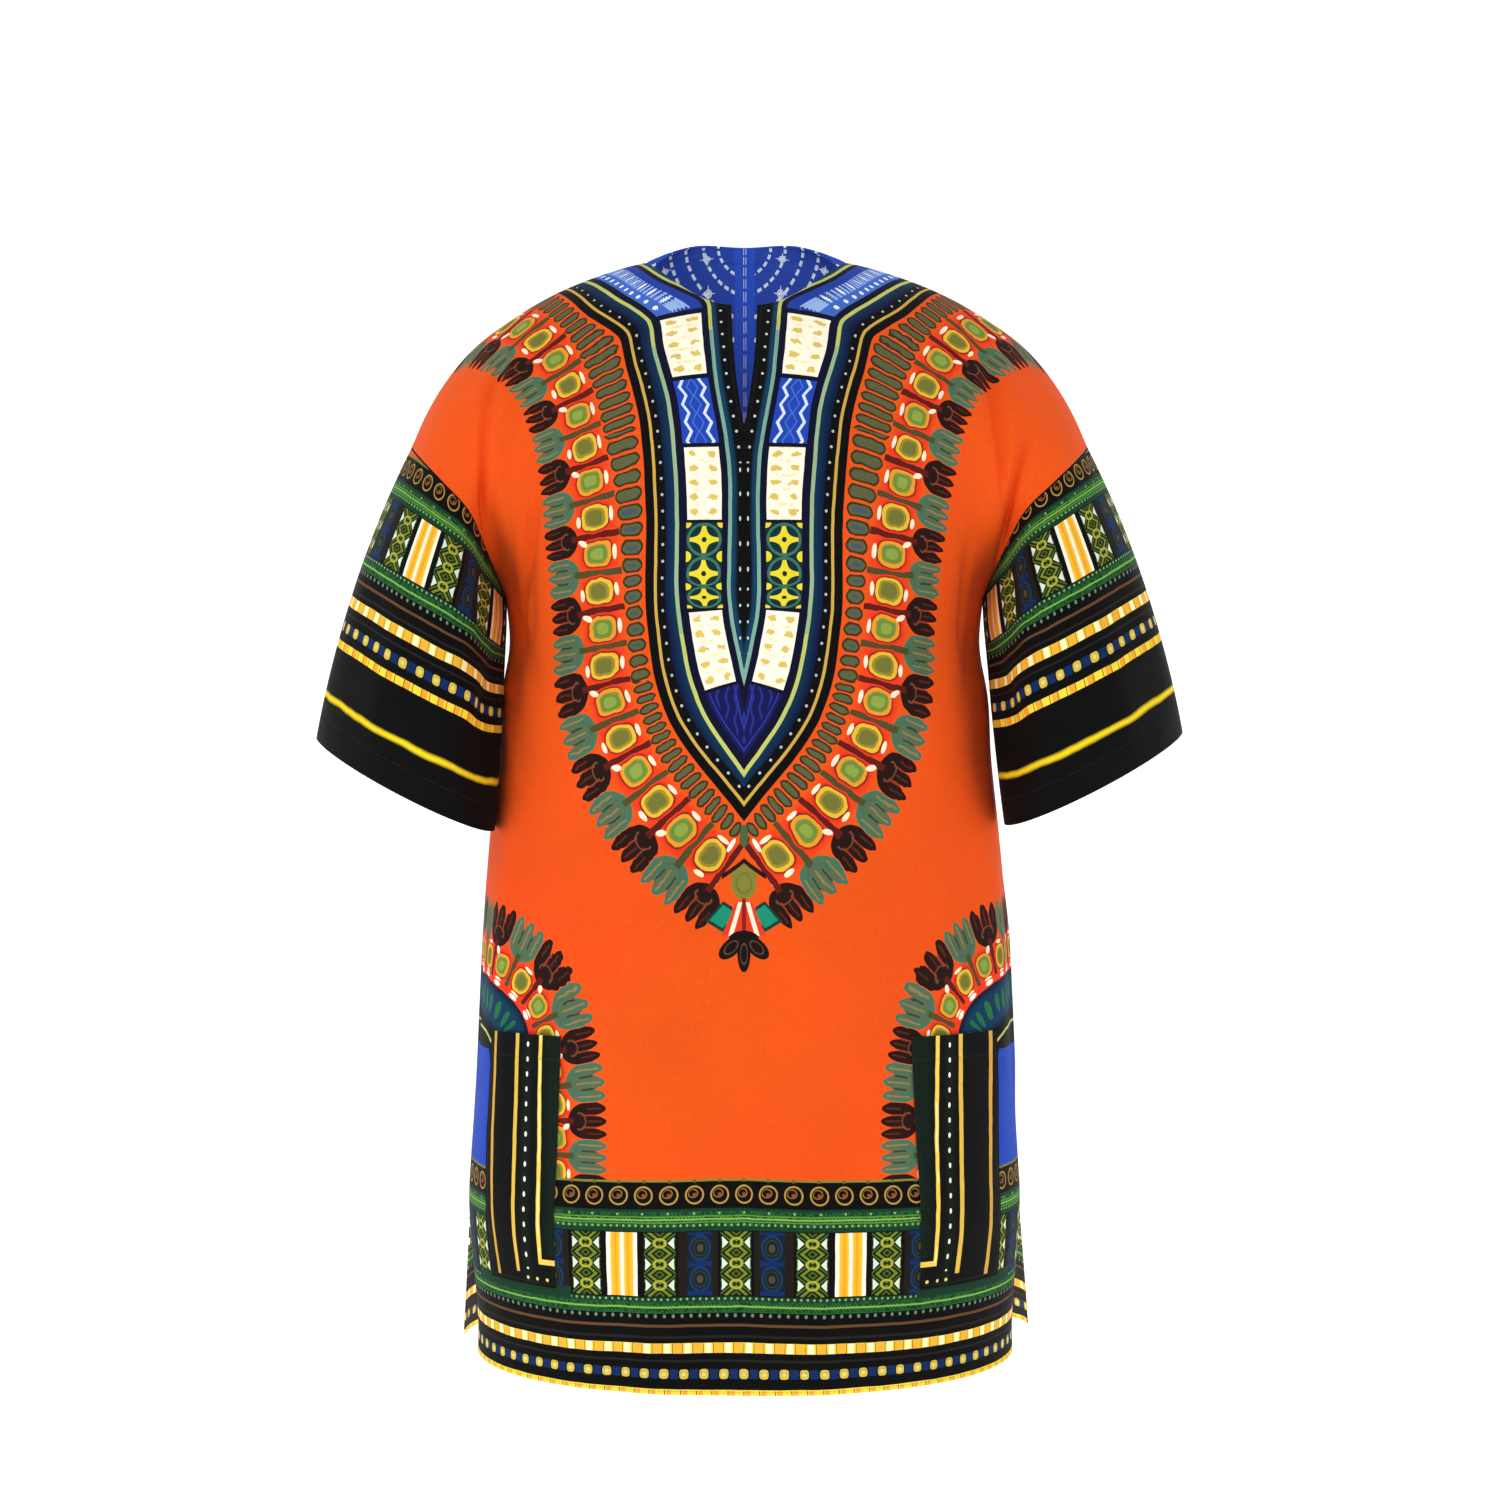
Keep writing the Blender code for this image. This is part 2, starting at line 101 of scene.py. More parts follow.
# Folds and creases: from (across, down) to (across, down) on the cloth, depth, half width
FOLDS = {
    "front": (
        (-0.2, 0.06, -0.245, 0.23, 0.006, 0.024), (-0.255, 0.13, -0.215, 0.35, -0.005, 0.024),
        (0.205, 0.06, 0.248, 0.23, 0.0055, 0.023), (0.25, 0.18, 0.205, 0.41, -0.0045, 0.025),
        (-0.2, 0.33, -0.19, 0.7, 0.005, 0.028), (0.215, 0.3, 0.205, 0.64, 0.0045, 0.026),
        (-0.03, 0.52, -0.012, 0.79, -0.0035, 0.026),
        (-0.262, 0.238, -0.165, 0.305, -0.0022, 0.01), (-0.268, 0.268, -0.19, 0.372, 0.002, 0.012),
        (0.262, 0.24, 0.18, 0.322, -0.0024, 0.011), (0.27, 0.272, 0.214, 0.42, 0.0018, 0.013),
        (-0.188, 0.185, -0.202, 0.28, -0.003, 0.009), (0.203, 0.19, 0.209, 0.292, -0.0028, 0.009),
        (-0.15, 0.03, -0.215, 0.15, 0.0014, 0.012), (0.16, 0.04, 0.225, 0.165, -0.0014, 0.012),
        (-0.12, 0.43, -0.145, 0.61, 0.0016, 0.016), (0.11, 0.46, 0.13, 0.64, -0.0016, 0.017),
        (0.04, 0.56, 0.052, 0.79, 0.0018, 0.016), (-0.075, 0.6, -0.085, 0.8, -0.0016, 0.014),
        (-0.262, 0.4, -0.256, 0.62, -0.002, 0.012), (0.268, 0.42, 0.262, 0.6, 0.002, 0.012),
        (-0.18, 0.07, -0.285, 0.177, -0.0062, 0.0075),
        (-0.172, 0.174, -0.236, 0.272, -0.0056, 0.007),
        (0.18, 0.074, 0.24, 0.171, -0.006, 0.0075), (0.234, 0.09, 0.274, 0.2, -0.0052, 0.007)),
    "back": (
        (-0.205, 0.1, -0.245, 0.31, -0.006, 0.026), (0.21, 0.11, 0.24, 0.3, -0.006, 0.025),
        (-0.11, 0.33, -0.13, 0.8, -0.006, 0.034), (0.09, 0.3, 0.12, 0.8, -0.0055, 0.032),
        (-0.01, 0.26, 0.006, 0.62, 0.004, 0.032), (0.2, 0.42, 0.215, 0.8, 0.005, 0.028),
        (-0.205, 0.4, -0.21, 0.8, 0.005, 0.026),
        (-0.265, 0.236, -0.15, 0.29, -0.0024, 0.011), (-0.262, 0.27, -0.175, 0.38, 0.002, 0.013),
        (0.264, 0.24, 0.16, 0.31, -0.0022, 0.01), (0.268, 0.28, 0.19, 0.41, 0.0021, 0.014),
        (-0.045, 0.47, -0.06, 0.79, 0.002, 0.016), (0.045, 0.43, 0.036, 0.74, -0.002, 0.017),
        (0.15, 0.5, 0.166, 0.79, -0.0018, 0.013), (-0.16, 0.45, -0.168, 0.72, 0.0018, 0.015)),
    "sleeve": (             # around is 0 at the outer edge, 0.25 in front, 0.5 at the inner edge
        (0.3, 0.01, 0.36, 0.15, 0.004, 0.02), (0.44, 0.02, 0.4, 0.2, -0.004, 0.02),
        (0.7, 0.01, 0.64, 0.16, 0.0045, 0.021), (0.16, 0.06, 0.12, 0.2, -0.003, 0.022),
        (0.4, 0.0, 0.27, 0.11, -0.0022, 0.009), (0.47, 0.01, 0.34, 0.15, 0.0018, 0.01),
        (0.6, 0.01, 0.72, 0.14, -0.002, 0.011), (0.22, 0.09, 0.2, 0.205, 0.0014, 0.01),
        (0.88, 0.05, 0.82, 0.19, 0.0018, 0.013))}


def smooth(x):
    """Ease from 0 to 1 as x goes from 0 to 1: three x squared less two x cubed."""
    x = np.clip(x, 0.0, 1.0)
    return x * x * (3.0 - 2.0 * x)


def unit(vectors):
    """The same directions with length 1: each vector over its length."""
    length = np.linalg.norm(vectors, axis=-1, keepdims=True)
    return vectors / np.where(length > 0, length, 1)


def facing(points):
    """Direction square to a grid of points: the step down crossed with the step sideways."""
    return unit(np.cross(np.gradient(points, axis=0), np.gradient(points, axis=1)))


def through(table, at):
    """Cubic curve through the rows of a table, read at the values of its first column."""
    rows = np.array(table)
    keys, values = rows[:, 0], rows[:, 1:]
    slopes = np.gradient(values, keys, axis=0)
    at = np.asarray(at, dtype=float)
    i = np.clip(np.searchsorted(keys, at, side="right") - 1, 0, len(keys) - 2)
    span = (keys[i + 1] - keys[i])[..., None]
    s = ((at - keys[i])[..., None]) / span
    return ((2 * s**3 - 3 * s**2 + 1) * values[i] + (s**3 - 2 * s**2 + s) * span * slopes[i]
            + (3 * s**2 - 2 * s**3) * values[i + 1] + (s**3 - s**2) * span * slopes[i + 1])


def section(panel, side, q, z):
    """Horizontal section of the body: a rounded quarter oval, q 0 at the centre, 1 at the side."""
    half, front, back, roundness = np.moveaxis(through(BODY, z), -1, 0)
    out, rear = VENT[panel, side]
    opened = smooth((VENT_TOP_Z - z) / (VENT_TOP_Z - HEM_Z))
    turn = q * math.pi / 2
    power = 2.0 / roundness
    depth = -(front + SIDE_SEAM_Y) if panel == "front" else back - SIDE_SEAM_Y
    x = (half + out * opened) * np.sin(turn) ** power
    y = SIDE_SEAM_Y + depth * np.cos(turn) ** power + rear * opened * q**VENT_POWER
    return np.stack([side * x, y, z + 0 * x], axis=-1)


def even_section(panel, side, q, z):
    """The same section with q measured along the cloth, by running length at the underarm."""
    steps = np.linspace(0.0, 1.0, 400)
    ring = section(panel, side, steps, np.full_like(steps, UNDERARM_Z))
    run = np.concatenate([[0.0], np.cumsum(np.linalg.norm(np.diff(ring, axis=0), axis=1))])
    return section(panel, side, np.interp(q, run / run[-1], steps), z)


def lean(points):
    """Move the left shoulder outward, fading towards the neck and the underarm."""
    share = smooth(points[..., 0] / LEAN_FULL_X)
    share = share * smooth((points[..., 2] - UNDERARM_Z) / LEAN_FULL_RISE)
    return points + share[..., None] * [LEAN_OUT, 0, 0]


def upper(panel, side, across, t):
    """Chest: a quarter round from the shoulder seam (t = 0) down to the underarm (t = 1)."""
    q = across / PANEL_HALF
    x, z = np.moveaxis(through(SHOULDER, across), -1, 0)
    start = np.stack([side * x, np.zeros_like(x), z], axis=-1)
    end = even_section(panel, side, q, np.full_like(q, UNDERARM_Z))
    power = 2.0 / SHOULDER_POWER[panel]
    forward = np.sin(t * math.pi / 2) ** power
    downward = 1.0 - np.cos(t * math.pi / 2) ** power
    share = np.stack([forward, forward, downward], axis=-1)
    point = start + (end - start) * share
    if panel == "back":
        cut = NECK_ROUND["back"]
        stand = smooth(t / cut) * np.cos(np.clip((t - cut) / (1 - cut), 0, 1) * math.pi / 2) ** 2
        point[..., 2] += NAPE_RISE * np.exp(-(across / NAPE_SPREAD) ** 2) * stand
    seam = through(ARMHOLE[panel], t) * [side, 1, 1]
    edge_start, edge_end = through(ARMHOLE[panel], 0.0), through(ARMHOLE[panel], 1.0)
    chord = edge_start + (edge_end - edge_start) * share
    near = np.clip((q - ARMHOLE_DRAW_START) / (1 - ARMHOLE_DRAW_START), 0, 1)
    return lean(point + near[..., None] ** ARMHOLE_DRAW_POWER * (seam - chord * [side, 1, 1]))


def fold_height(kind, across, down):
    """How far folds lift the cloth: bell-shaped ridges and troughs that fade at ends and seams."""
    lift = np.zeros_like(across)
    for a0, d0, a1, d1, depth, half_width in FOLDS[kind]:
        if kind == "sleeve":
            a0, a1 = a0 * SLEEVE_ROUND, a1 * SLEEVE_ROUND
        run = np.array([a1 - a0, d1 - d0])
        length = np.hypot(*run)
        along = ((across - a0) * run[0] + (down - d0) * run[1]) / length**2
        beside = ((across - a0) * run[1] - (down - d0) * run[0]) / length
        ends = smooth(along / FOLD_END) * smooth((1.0 - along) / FOLD_END)
        lift += depth * ends * np.exp(-(beside / half_width) ** 2)
    to_seam = SLEEVE_DOWN if kind == "sleeve" else PANEL_HALF - np.abs(across)
    return lift * smooth(down / FOLD_FADE) * smooth(to_seam / FOLD_FADE)


def half_panel(panel, side):
    """Half a front or back as a grid: its smooth form, its folded form and each point's place."""
    slit_end = (SLIT_TIP - NECK_ROUND["front"]) / (1 - NECK_ROUND["front"])
    rows = np.concatenate([np.linspace(0, slit_end, SLIT_ROWS + 1),
                           np.linspace(slit_end, 1, CHEST_ROWS + 1)[1:]])[:, None]
    neck = NECK_HALF * np.sin(np.linspace(0, math.pi / 2, NECK_COLUMNS + 1))
    high = np.concatenate([neck, np.linspace(NECK_HALF, PANEL_HALF, SIDE_COLUMNS + 1)[1:]])
    low = np.linspace(0, PANEL_HALF, len(high))
    across = high + (low - high) * smooth(rows)
    top = NECK_ROUND[panel] * np.sqrt(np.clip(1 - (across[0] / NECK_HALF) ** 2, 0, 1))
    t = top + (1 - top) * rows
    if panel == "front":
        slit = SLIT_HALF * (1 - np.clip(rows / slit_end, 0, 1) ** SLIT_CURVE)
        across = across + slit * np.clip(1 - across / NECK_HALF, 0, 1)
    z = np.linspace(UNDERARM_Z, HEM_Z, LOWER_ROWS + 1)[1:, None] + 0 * low
    base = np.concatenate([upper(panel, side, across, t),
                           even_section(panel, side, (low + 0 * z) / PANEL_HALF, z)])
    across = np.concatenate([across, low + 0 * z])
    down = np.concatenate([t * -UNDERARM_Z, -z])
    lift = fold_height(panel, side * across, down)
    outward = side if panel == "front" else -side
    points = base + facing(base) * outward * lift[..., None]
    points[:, -1] += unit(points[:, -2] - points[:, -1]) * SEAM_DRAW
    seam = across[0] > NECK_HALF
    points[0, seam] += unit(points[1, seam] - points[0, seam]) * SEAM_DRAW
    return base, points, across, down


def nearest(points, line):
    """Distance of each point from a line of straight steps, and the length run along it there."""
    flat = points.reshape(-1, 3)
    best, along, run = np.full(len(flat), np.inf), np.zeros(len(flat)), 0.0
    for start, end in zip(line[:-1], line[1:]):
        step = end - start
        length = np.linalg.norm(step)
        share = np.clip((flat - start) @ step / length**2, 0, 1)
        apart = np.linalg.norm(flat - start - share[:, None] * step, axis=1)
        closer = apart < best
        best = np.where(closer, apart, best)
        along = np.where(closer, run + share * length, along)
        run += length
    return best.reshape(points.shape[:-1]), along.reshape(points.shape[:-1])


# Lines of the print, as (across, down) on the flat cloth, from the shoulder or side seam inward
YOKE_LINES = {
    "gold": (((0.132, 0.0), (0.127, 0.041), (0.114, 0.080), (0.087, 0.112)),
             ((0.087, 0.112), (0.084, 0.128), (0.073, 0.163), (0.068, 0.205), (0.068, 0.262),
              (0.053, 0.315), (0.0, 0.379))),
    "middle": (((0.119, 0.0), (0.113, 0.040), (0.097, 0.077), (0.070, 0.108)),
               ((0.070, 0.108), (0.068, 0.126), (0.057, 0.158), (0.052, 0.195), (0.050, 0.262),
                (0.033, 0.316), (0.0, 0.360))),
    "inner": (((0.080, 0.0), (0.075, 0.028), (0.062, 0.064), (0.026, 0.092)),
              ((0.026, 0.092), (0.025, 0.110), (0.021, 0.146), (0.012, 0.182), (0.010, 0.258),
               (0.0, 0.299)))}
FRINGE_LINE = (((0.186, 0.0), (0.169, 0.062), (0.134, 0.150), (0.119, 0.215), (0.114, 0.275),
                (0.090, 0.344), (0.046, 0.395), (0.0, 0.428)),)
ARCH_LINE = (((0.287, 0.474), (0.239, 0.477), (0.193, 0.484), (0.155, 0.506), (0.137, 0.548),
              (0.129, 0.625), (0.127, 0.700)),)
BACK_DROP = 0.050           # the yoke lies this much lower on the back
LINE_SOFT = 0.0022          # bends of the lines are rounded over this length
LINE_REACH = 0.080          # lines run on past their ends, so that their corners stay sharp

# Repeats of the print along its lines and its border, and rows of stitches from an edge
FRINGE_PITCH, ARCH_PITCH, DOT_PITCH, FLOWER_PITCH = 0.0245, 0.0215, 0.0108, 0.01395
CIRCLE_PITCH, RIBBON_PITCH, LATTICE_PITCH, ROW_PITCH = 0.0159, 0.0130, 0.0131, 0.0960
STITCH, EDGE_ROW, HEM_ROW, CUFF_ROW, MOUTH_ROW = 0.0030, 0.0022, 0.0140, 0.0180, 0.0150


def curve(points):
    """Smooth curve through a few points, in even steps of its running length."""
    run = np.concatenate([[0], np.cumsum(np.hypot(*np.diff(points, axis=0).T))])
    return through(np.column_stack([run, points]), np.linspace(0, run[-1], 300))


def drawn_line(panel, side, sections):
    """A line of the print on the cloth: smooth sections, rounded where they meet and run on."""
    flat = np.concatenate([curve(section) for section in sections])
    if panel == "back" and flat[0, 1] == 0:
        flat[:, 1] += BACK_DROP * smooth(flat[:, 1] / 0.03)
    run = np.concatenate([[0], np.cumsum(np.hypot(*np.diff(flat, axis=0).T))])
    fine = np.linspace(0, run[-1], 600)
    flat = np.stack([np.interp(fine, run, column) for column in flat.T], axis=-1)
    width = LINE_SOFT / run[-1] * 600
    bell = np.exp(-0.5 * (np.arange(-30, 31) / width) ** 2)
    padded = np.pad(flat, ((30, 30), (0, 0)), mode="reflect", reflect_type="odd")
    flat = np.stack([np.convolve(c, bell / bell.sum(), mode="valid") for c in padded.T], axis=-1)
    flat[:, 0] = np.clip(flat[:, 0], 0, PANEL_HALF)
    flat = flat[np.linspace(0, 599, LINE_STEPS).astype(int)]
    chest = flat[:, 1] < -UNDERARM_Z
    high = upper(panel, side, flat[:, 0], np.clip(flat[:, 1] / -UNDERARM_Z, 0, 1))
    low = even_section(panel, side, flat[:, 0] / PANEL_HALF, np.minimum(-flat[:, 1], UNDERARM_Z))
    line = np.where(chest[:, None], high, low)
    before = line[0] + unit(line[0] - line[2]) * LINE_REACH
    after = line[-1] + unit(line[-1] - line[-4]) * LINE_REACH
    return np.concatenate([[before], line, [after]]), flat


def from_line(panel, side, table, base, across, down):
    """Signed distance from a line of the print, more than 0 outside it, and the run to its end."""
    line, flat = drawn_line(panel, side, table)
    apart, run = nearest(base, line)
    edge = np.interp(down, flat[:, 1], flat[:, 0])
    inside = (across < edge) & (down < flat[-1, 1])
    whole = np.linalg.norm(np.diff(line[:-1], axis=0), axis=1).sum()
    return apart * np.where(inside, -1, 1), run - whole


def panel_places(panel, side, base, across, down):
    """What the print and the sewing read at each point of half a panel, three numbers to a name."""
    gold, gold_run = from_line(panel, side, YOKE_LINES["gold"], base, across, down)
    middle, _ = from_line(panel, side, YOKE_LINES["middle"], base, across, down)
    inner, inner_run = from_line(panel, side, YOKE_LINES["inner"], base, across, down)
    ring, ring_run = from_line(panel, side, FRINGE_LINE, base, across, down)
    arch, arch_run = from_line(panel, side, ARCH_LINE, base, across, down)
    neck = across[0] <= NECK_HALF + 1e-6
    vent = base[:, -1, 2] < VENT_TOP_Z
    hems = [base[0, neck], base[-1], base[vent, -1]]
    if panel == "front":
        hems.append(base[:SLIT_ROWS + 1, 0])
    hemmed, hem_run = nearest(base, hems[0])
    for line in hems[1:]:
        apart, run = nearest(base, line)
        hem_run = np.where(apart < hemmed, run, hem_run)
        hemmed = np.minimum(apart, hemmed)
    seamed = np.minimum(nearest(base, base[0, ~neck])[0], nearest(base, base[~vent, -1])[0])
    hem_length = np.concatenate([[0], np.cumsum(np.linalg.norm(np.diff(base[-1], axis=0), axis=1))])
    along = np.interp(across, across[-1], hem_length)
    height = base[..., 2] - HEM_Z
    behind = np.full_like(height, panel == "back")
    return {
        "yoke": np.stack([gold, middle, inner], axis=-1),
        "yoke_run": np.stack([gold_run, inner_run, down - BACK_DROP * behind], axis=-1),
        "fringe": np.stack([ring, ring_run, side * along], axis=-1),
        "arch": np.stack([-arch, arch_run, down], axis=-1),
        "place": np.stack([height, behind, 0 * height], axis=-1),
        "sewn": np.stack([hemmed, hem_run, seamed], axis=-1)}


def grid_faces(rows, columns, closed=False):
    """Corner numbers of the faces of a grid: down, right, up and back again."""
    number = np.arange(rows * columns).reshape(rows, columns)
    if closed:
        number = np.concatenate([number, number[:, :1]], axis=1)
    return np.stack([number[:-1, :-1], number[1:, :-1], number[1:, 1:], number[:-1, 1:]],
                    axis=-1).reshape(-1, 4)


def whole_panel(panel):
    """Both halves of a panel side by side, joined on the centre line below the slit."""
    halves = [half_panel(panel, side) for side in (-1, 1)]
    places = [panel_places(panel, side, base, across, down)
              for side, (base, _, across, down) in zip((-1, 1), halves)]
    left, right = halves[0][1], halves[1][1]
    open_rows = SLIT_ROWS if panel == "front" else 0
    left[open_rows:, 0] = right[open_rows:, 0] = (left[open_rows:, 0] + right[open_rows:, 0]) / 2
    rows, half = left.shape[:2]
    points = np.concatenate([left[:, ::-1], right], axis=1)
    normals = facing(points)
    join = np.concatenate([facing(left)[:, ::-1] * -1, facing(right)], axis=1)
    slit = slice(0, open_rows)
    normals[slit] = join[slit]
    if panel == "back":
        normals[:, half - 1:half + 1] = unit(normals[:, half - 1:half] + normals[:, half:half + 1])
    number = np.arange(rows * 2 * half).reshape(rows, 2 * half)
    number[open_rows:, half - 1] = number[open_rows:, half]
    faces = number.ravel()[grid_faces(rows, 2 * half)]
    faces = faces[faces[:, 0] != faces[:, 3]]
    middle = np.arange(rows - 1) * 2 * half + half - 1
    faces = faces[~np.isin(faces[:, 0], middle[:open_rows])]
    fields = {name: np.concatenate([places[0][name][:, ::-1], places[1][name]], axis=1)
              for name in places[0]}
    if panel == "back":
        normals, faces = -normals, faces[:, ::-1]
    return points, normals, faces, fields


def cloth_shell(name, points, normals, faces, fields, material):
    """Closed shell of cloth: the face, the reverse one thickness inside it, and the edges."""
    used, faces = np.unique(faces, return_inverse=True)
    faces = faces.reshape(-1, 4)
    outer, square = points.reshape(-1, 3)[used], normals.reshape(-1, 3)[used]
    count = len(outer)
    edges = faces[:, [0, 1, 1, 2, 2, 3, 3, 0]].reshape(-1, 2)
    code, back = edges[:, 0] * count + edges[:, 1], edges[:, 1] * count + edges[:, 0]
    rim = edges[~np.isin(code, back)]
    rim_faces = np.stack([rim[:, 1], rim[:, 0], rim[:, 0] + count, rim[:, 1] + count], axis=-1)
    everything = np.concatenate([faces, faces[:, ::-1] + count, rim_faces])
    mesh = bpy.data.meshes.new(name)
    mesh.from_pydata(np.concatenate([outer, outer - square * CLOTH]), [], everything.tolist())
    for field, values in fields.items():
        layer = mesh.attributes.new(field, "FLOAT_VECTOR", "POINT")
        both = np.tile(values.reshape(-1, 3)[used], (2, 1)).astype(np.float32)
        layer.data.foreach_set("vector", both.ravel())
    layer = mesh.attributes.new("reverse", "FLOAT", "POINT")
    layer.data.foreach_set("value", np.repeat([0.0, 1.0], count).astype(np.float32))
    mesh.materials.append(material)
    mesh.shade_smooth()
    mesh.set_sharp_from_angle(angle=SHARP_EDGE)
    piece = bpy.data.objects.new(name, mesh)
    bpy.context.scene.collection.objects.link(piece)
    corners = outer[faces]
    area = 0.5 * np.linalg.norm(np.cross(corners[:, 2] - corners[:, 0],
                                         corners[:, 3] - corners[:, 1]), axis=1).sum()
    return piece, float(area)


def dye(colour):
    """Colour of a dye, from red, green and blue out of 255 to the shader's linear scale."""
    scale = np.array(colour) / 255
    return (*np.where(scale > 0.04045, ((scale + 0.055) / 1.055) ** 2.4, scale / 12.92), 1.0)


# Main dyes of the print: red, green and blue out of 255
ORANGE, DEEP_ORANGE = (229, 84, 20), (227, 70, 24)
BLACK, BROWN_BLACK, BROWN = (8, 8, 8), (36, 18, 14), (98, 66, 40)
YELLOW, CREAM, WHITE = (244, 216, 62), (250, 244, 222), (238, 242, 244)
BLUE, SKY, NAVY, TEAL = (32, 68, 176), (30, 62, 158), (12, 20, 58), (10, 48, 76)
LIME, OLIVE, AQUA = (188, 194, 104), (128, 124, 48), (120, 166, 148)
GREEN, BRIGHT_GREEN, DARK_GREEN = (40, 100, 48), (84, 142, 52), (20, 56, 36)


class Amount:
    """A number at each place on the cloth, worked on with ordinary arithmetic by shader nodes."""

    def __init__(self, tree, socket):
        self.tree, self.socket = tree, socket

    def by(self, operation, *others):
        """The outcome of one operation; & is both of two masks, | either and ~ the opposite."""
        node = self.tree.nodes.new("ShaderNodeMath")
        node.operation = operation
        for place, value in enumerate((self, *others)):
            if isinstance(value, Amount):
                self.tree.links.new(value.socket, node.inputs[place])
            else:
                node.inputs[place].default_value = value
        return Amount(self.tree, node.outputs[0])

    __add__ = partialmethod(by, "ADD")
    __sub__ = partialmethod(by, "SUBTRACT")
    __mul__ = partialmethod(by, "MULTIPLY")
    __truediv__ = partialmethod(by, "DIVIDE")
    __neg__ = partialmethod(by, "MULTIPLY", -1.0)
    __abs__ = partialmethod(by, "ABSOLUTE")
    __and__ = partialmethod(by, "MULTIPLY")
    __or__ = partialmethod(by, "MAXIMUM")
    __invert__ = partialmethod(by, "MULTIPLY_ADD", -1.0, 1.0)

    def soft_step(self, start, soft):
        """0 below the start and 1 above it, with a slope as wide as soft."""
        return (self * (1 / soft) + (0.5 - start / soft)).by("MAXIMUM", 0.0).by("MINIMUM", 1.0)

    def under(self, limit, soft=0):
        """1 where the amount is less than the limit, 0 where it is more."""
        return ~self.soft_step(limit, soft) if soft else self.by("LESS_THAN", limit)

    def over(self, limit, soft=0):
        """1 where the amount is more than the limit."""
        return self.soft_step(limit, soft) if soft else self.by("GREATER_THAN", limit)

    def near(self, middle, half, soft=0):
        """1 within half of the middle."""
        return abs(self - middle).under(half, soft) if soft else self.by("COMPARE", middle, half)

    def between(self, low, high, soft=0):
        """1 from low to high."""
        return self.near((low + high) / 2, (high - low) / 2, soft)

    def every(self, pitch):
        """Distance from the nearest whole multiple of the pitch."""
        return self.by("PINGPONG", pitch / 2)

    def wrapped(self, pitch):
        """Signed place within a repeat that is centred on 0."""
        return self.by("WRAP", pitch / 2, -pitch / 2)


def readings(tree, field):
    """The three numbers stored on the cloth under a name."""
    node = tree.nodes.new("ShaderNodeAttribute")
    node.attribute_name = field
    split = tree.nodes.new("ShaderNodeSeparateXYZ")
    tree.links.new(node.outputs["Vector"], split.inputs[0])
    return [Amount(tree, output) for output in split.outputs]


def oval(x, y, half_x, half_y):
    """Distance from the middle of an oval: the length of x and y over their half widths."""
    x, y = x * (1 / half_x), y * (1 / half_y)
    return (x * x + y * y).by("SQRT")


def spot(x, y, half_x, half_y):
    """1 inside the oval, where that distance is less than 1."""
    return oval(x, y, half_x, half_y).under(1)


def uneven(tree, scale, amount):
    """Small smooth wandering from place to place, up to about half the amount either way."""
    where = tree.nodes.new("ShaderNodeTexCoord")
    noise = tree.nodes.new("ShaderNodeTexNoise")
    noise.inputs["Scale"].default_value = scale
    noise.inputs["Detail"].default_value = 1.0
    tree.links.new(where.outputs["Object"], noise.inputs["Vector"])
    return (Amount(tree, noise.outputs[0]) - 0.5) * amount


class Dyes:
    """The dyes on a piece of cloth, printed one over another."""

    def __init__(self, tree, ground):
        self.tree, self.colour = tree, ground

    def lay(self, colour, where):
        """Print a colour over what is there, where the mask is 1."""
        node = self.tree.nodes.new("ShaderNodeMix")
        node.data_type = "RGBA"
        self.tree.links.new(where.socket, node.inputs[0])
        for place, value in ((6, self.colour), (7, colour)):
            if isinstance(value, tuple):
                node.inputs[place].default_value = dye(value)
            else:
                self.tree.links.new(value, node.inputs[place])
        self.colour = node.outputs[2]


def stripes(tree, amount, span, steps):
    """Colours in a stack of stripes: each step is where it starts, and its dye."""
    node = tree.nodes.new("ShaderNodeValToRGB")
    ramp = node.color_ramp
    ramp.interpolation = "CONSTANT"
    for number, (start, colour) in enumerate(steps):
        if number < 2:
            stop = ramp.elements[number]
            stop.position = start / span
        else:
            stop = ramp.elements.new(start / span)
        stop.color = dye(colour)
    tree.links.new((amount * (1 / span)).socket, node.inputs[0])
    return node.outputs[0]


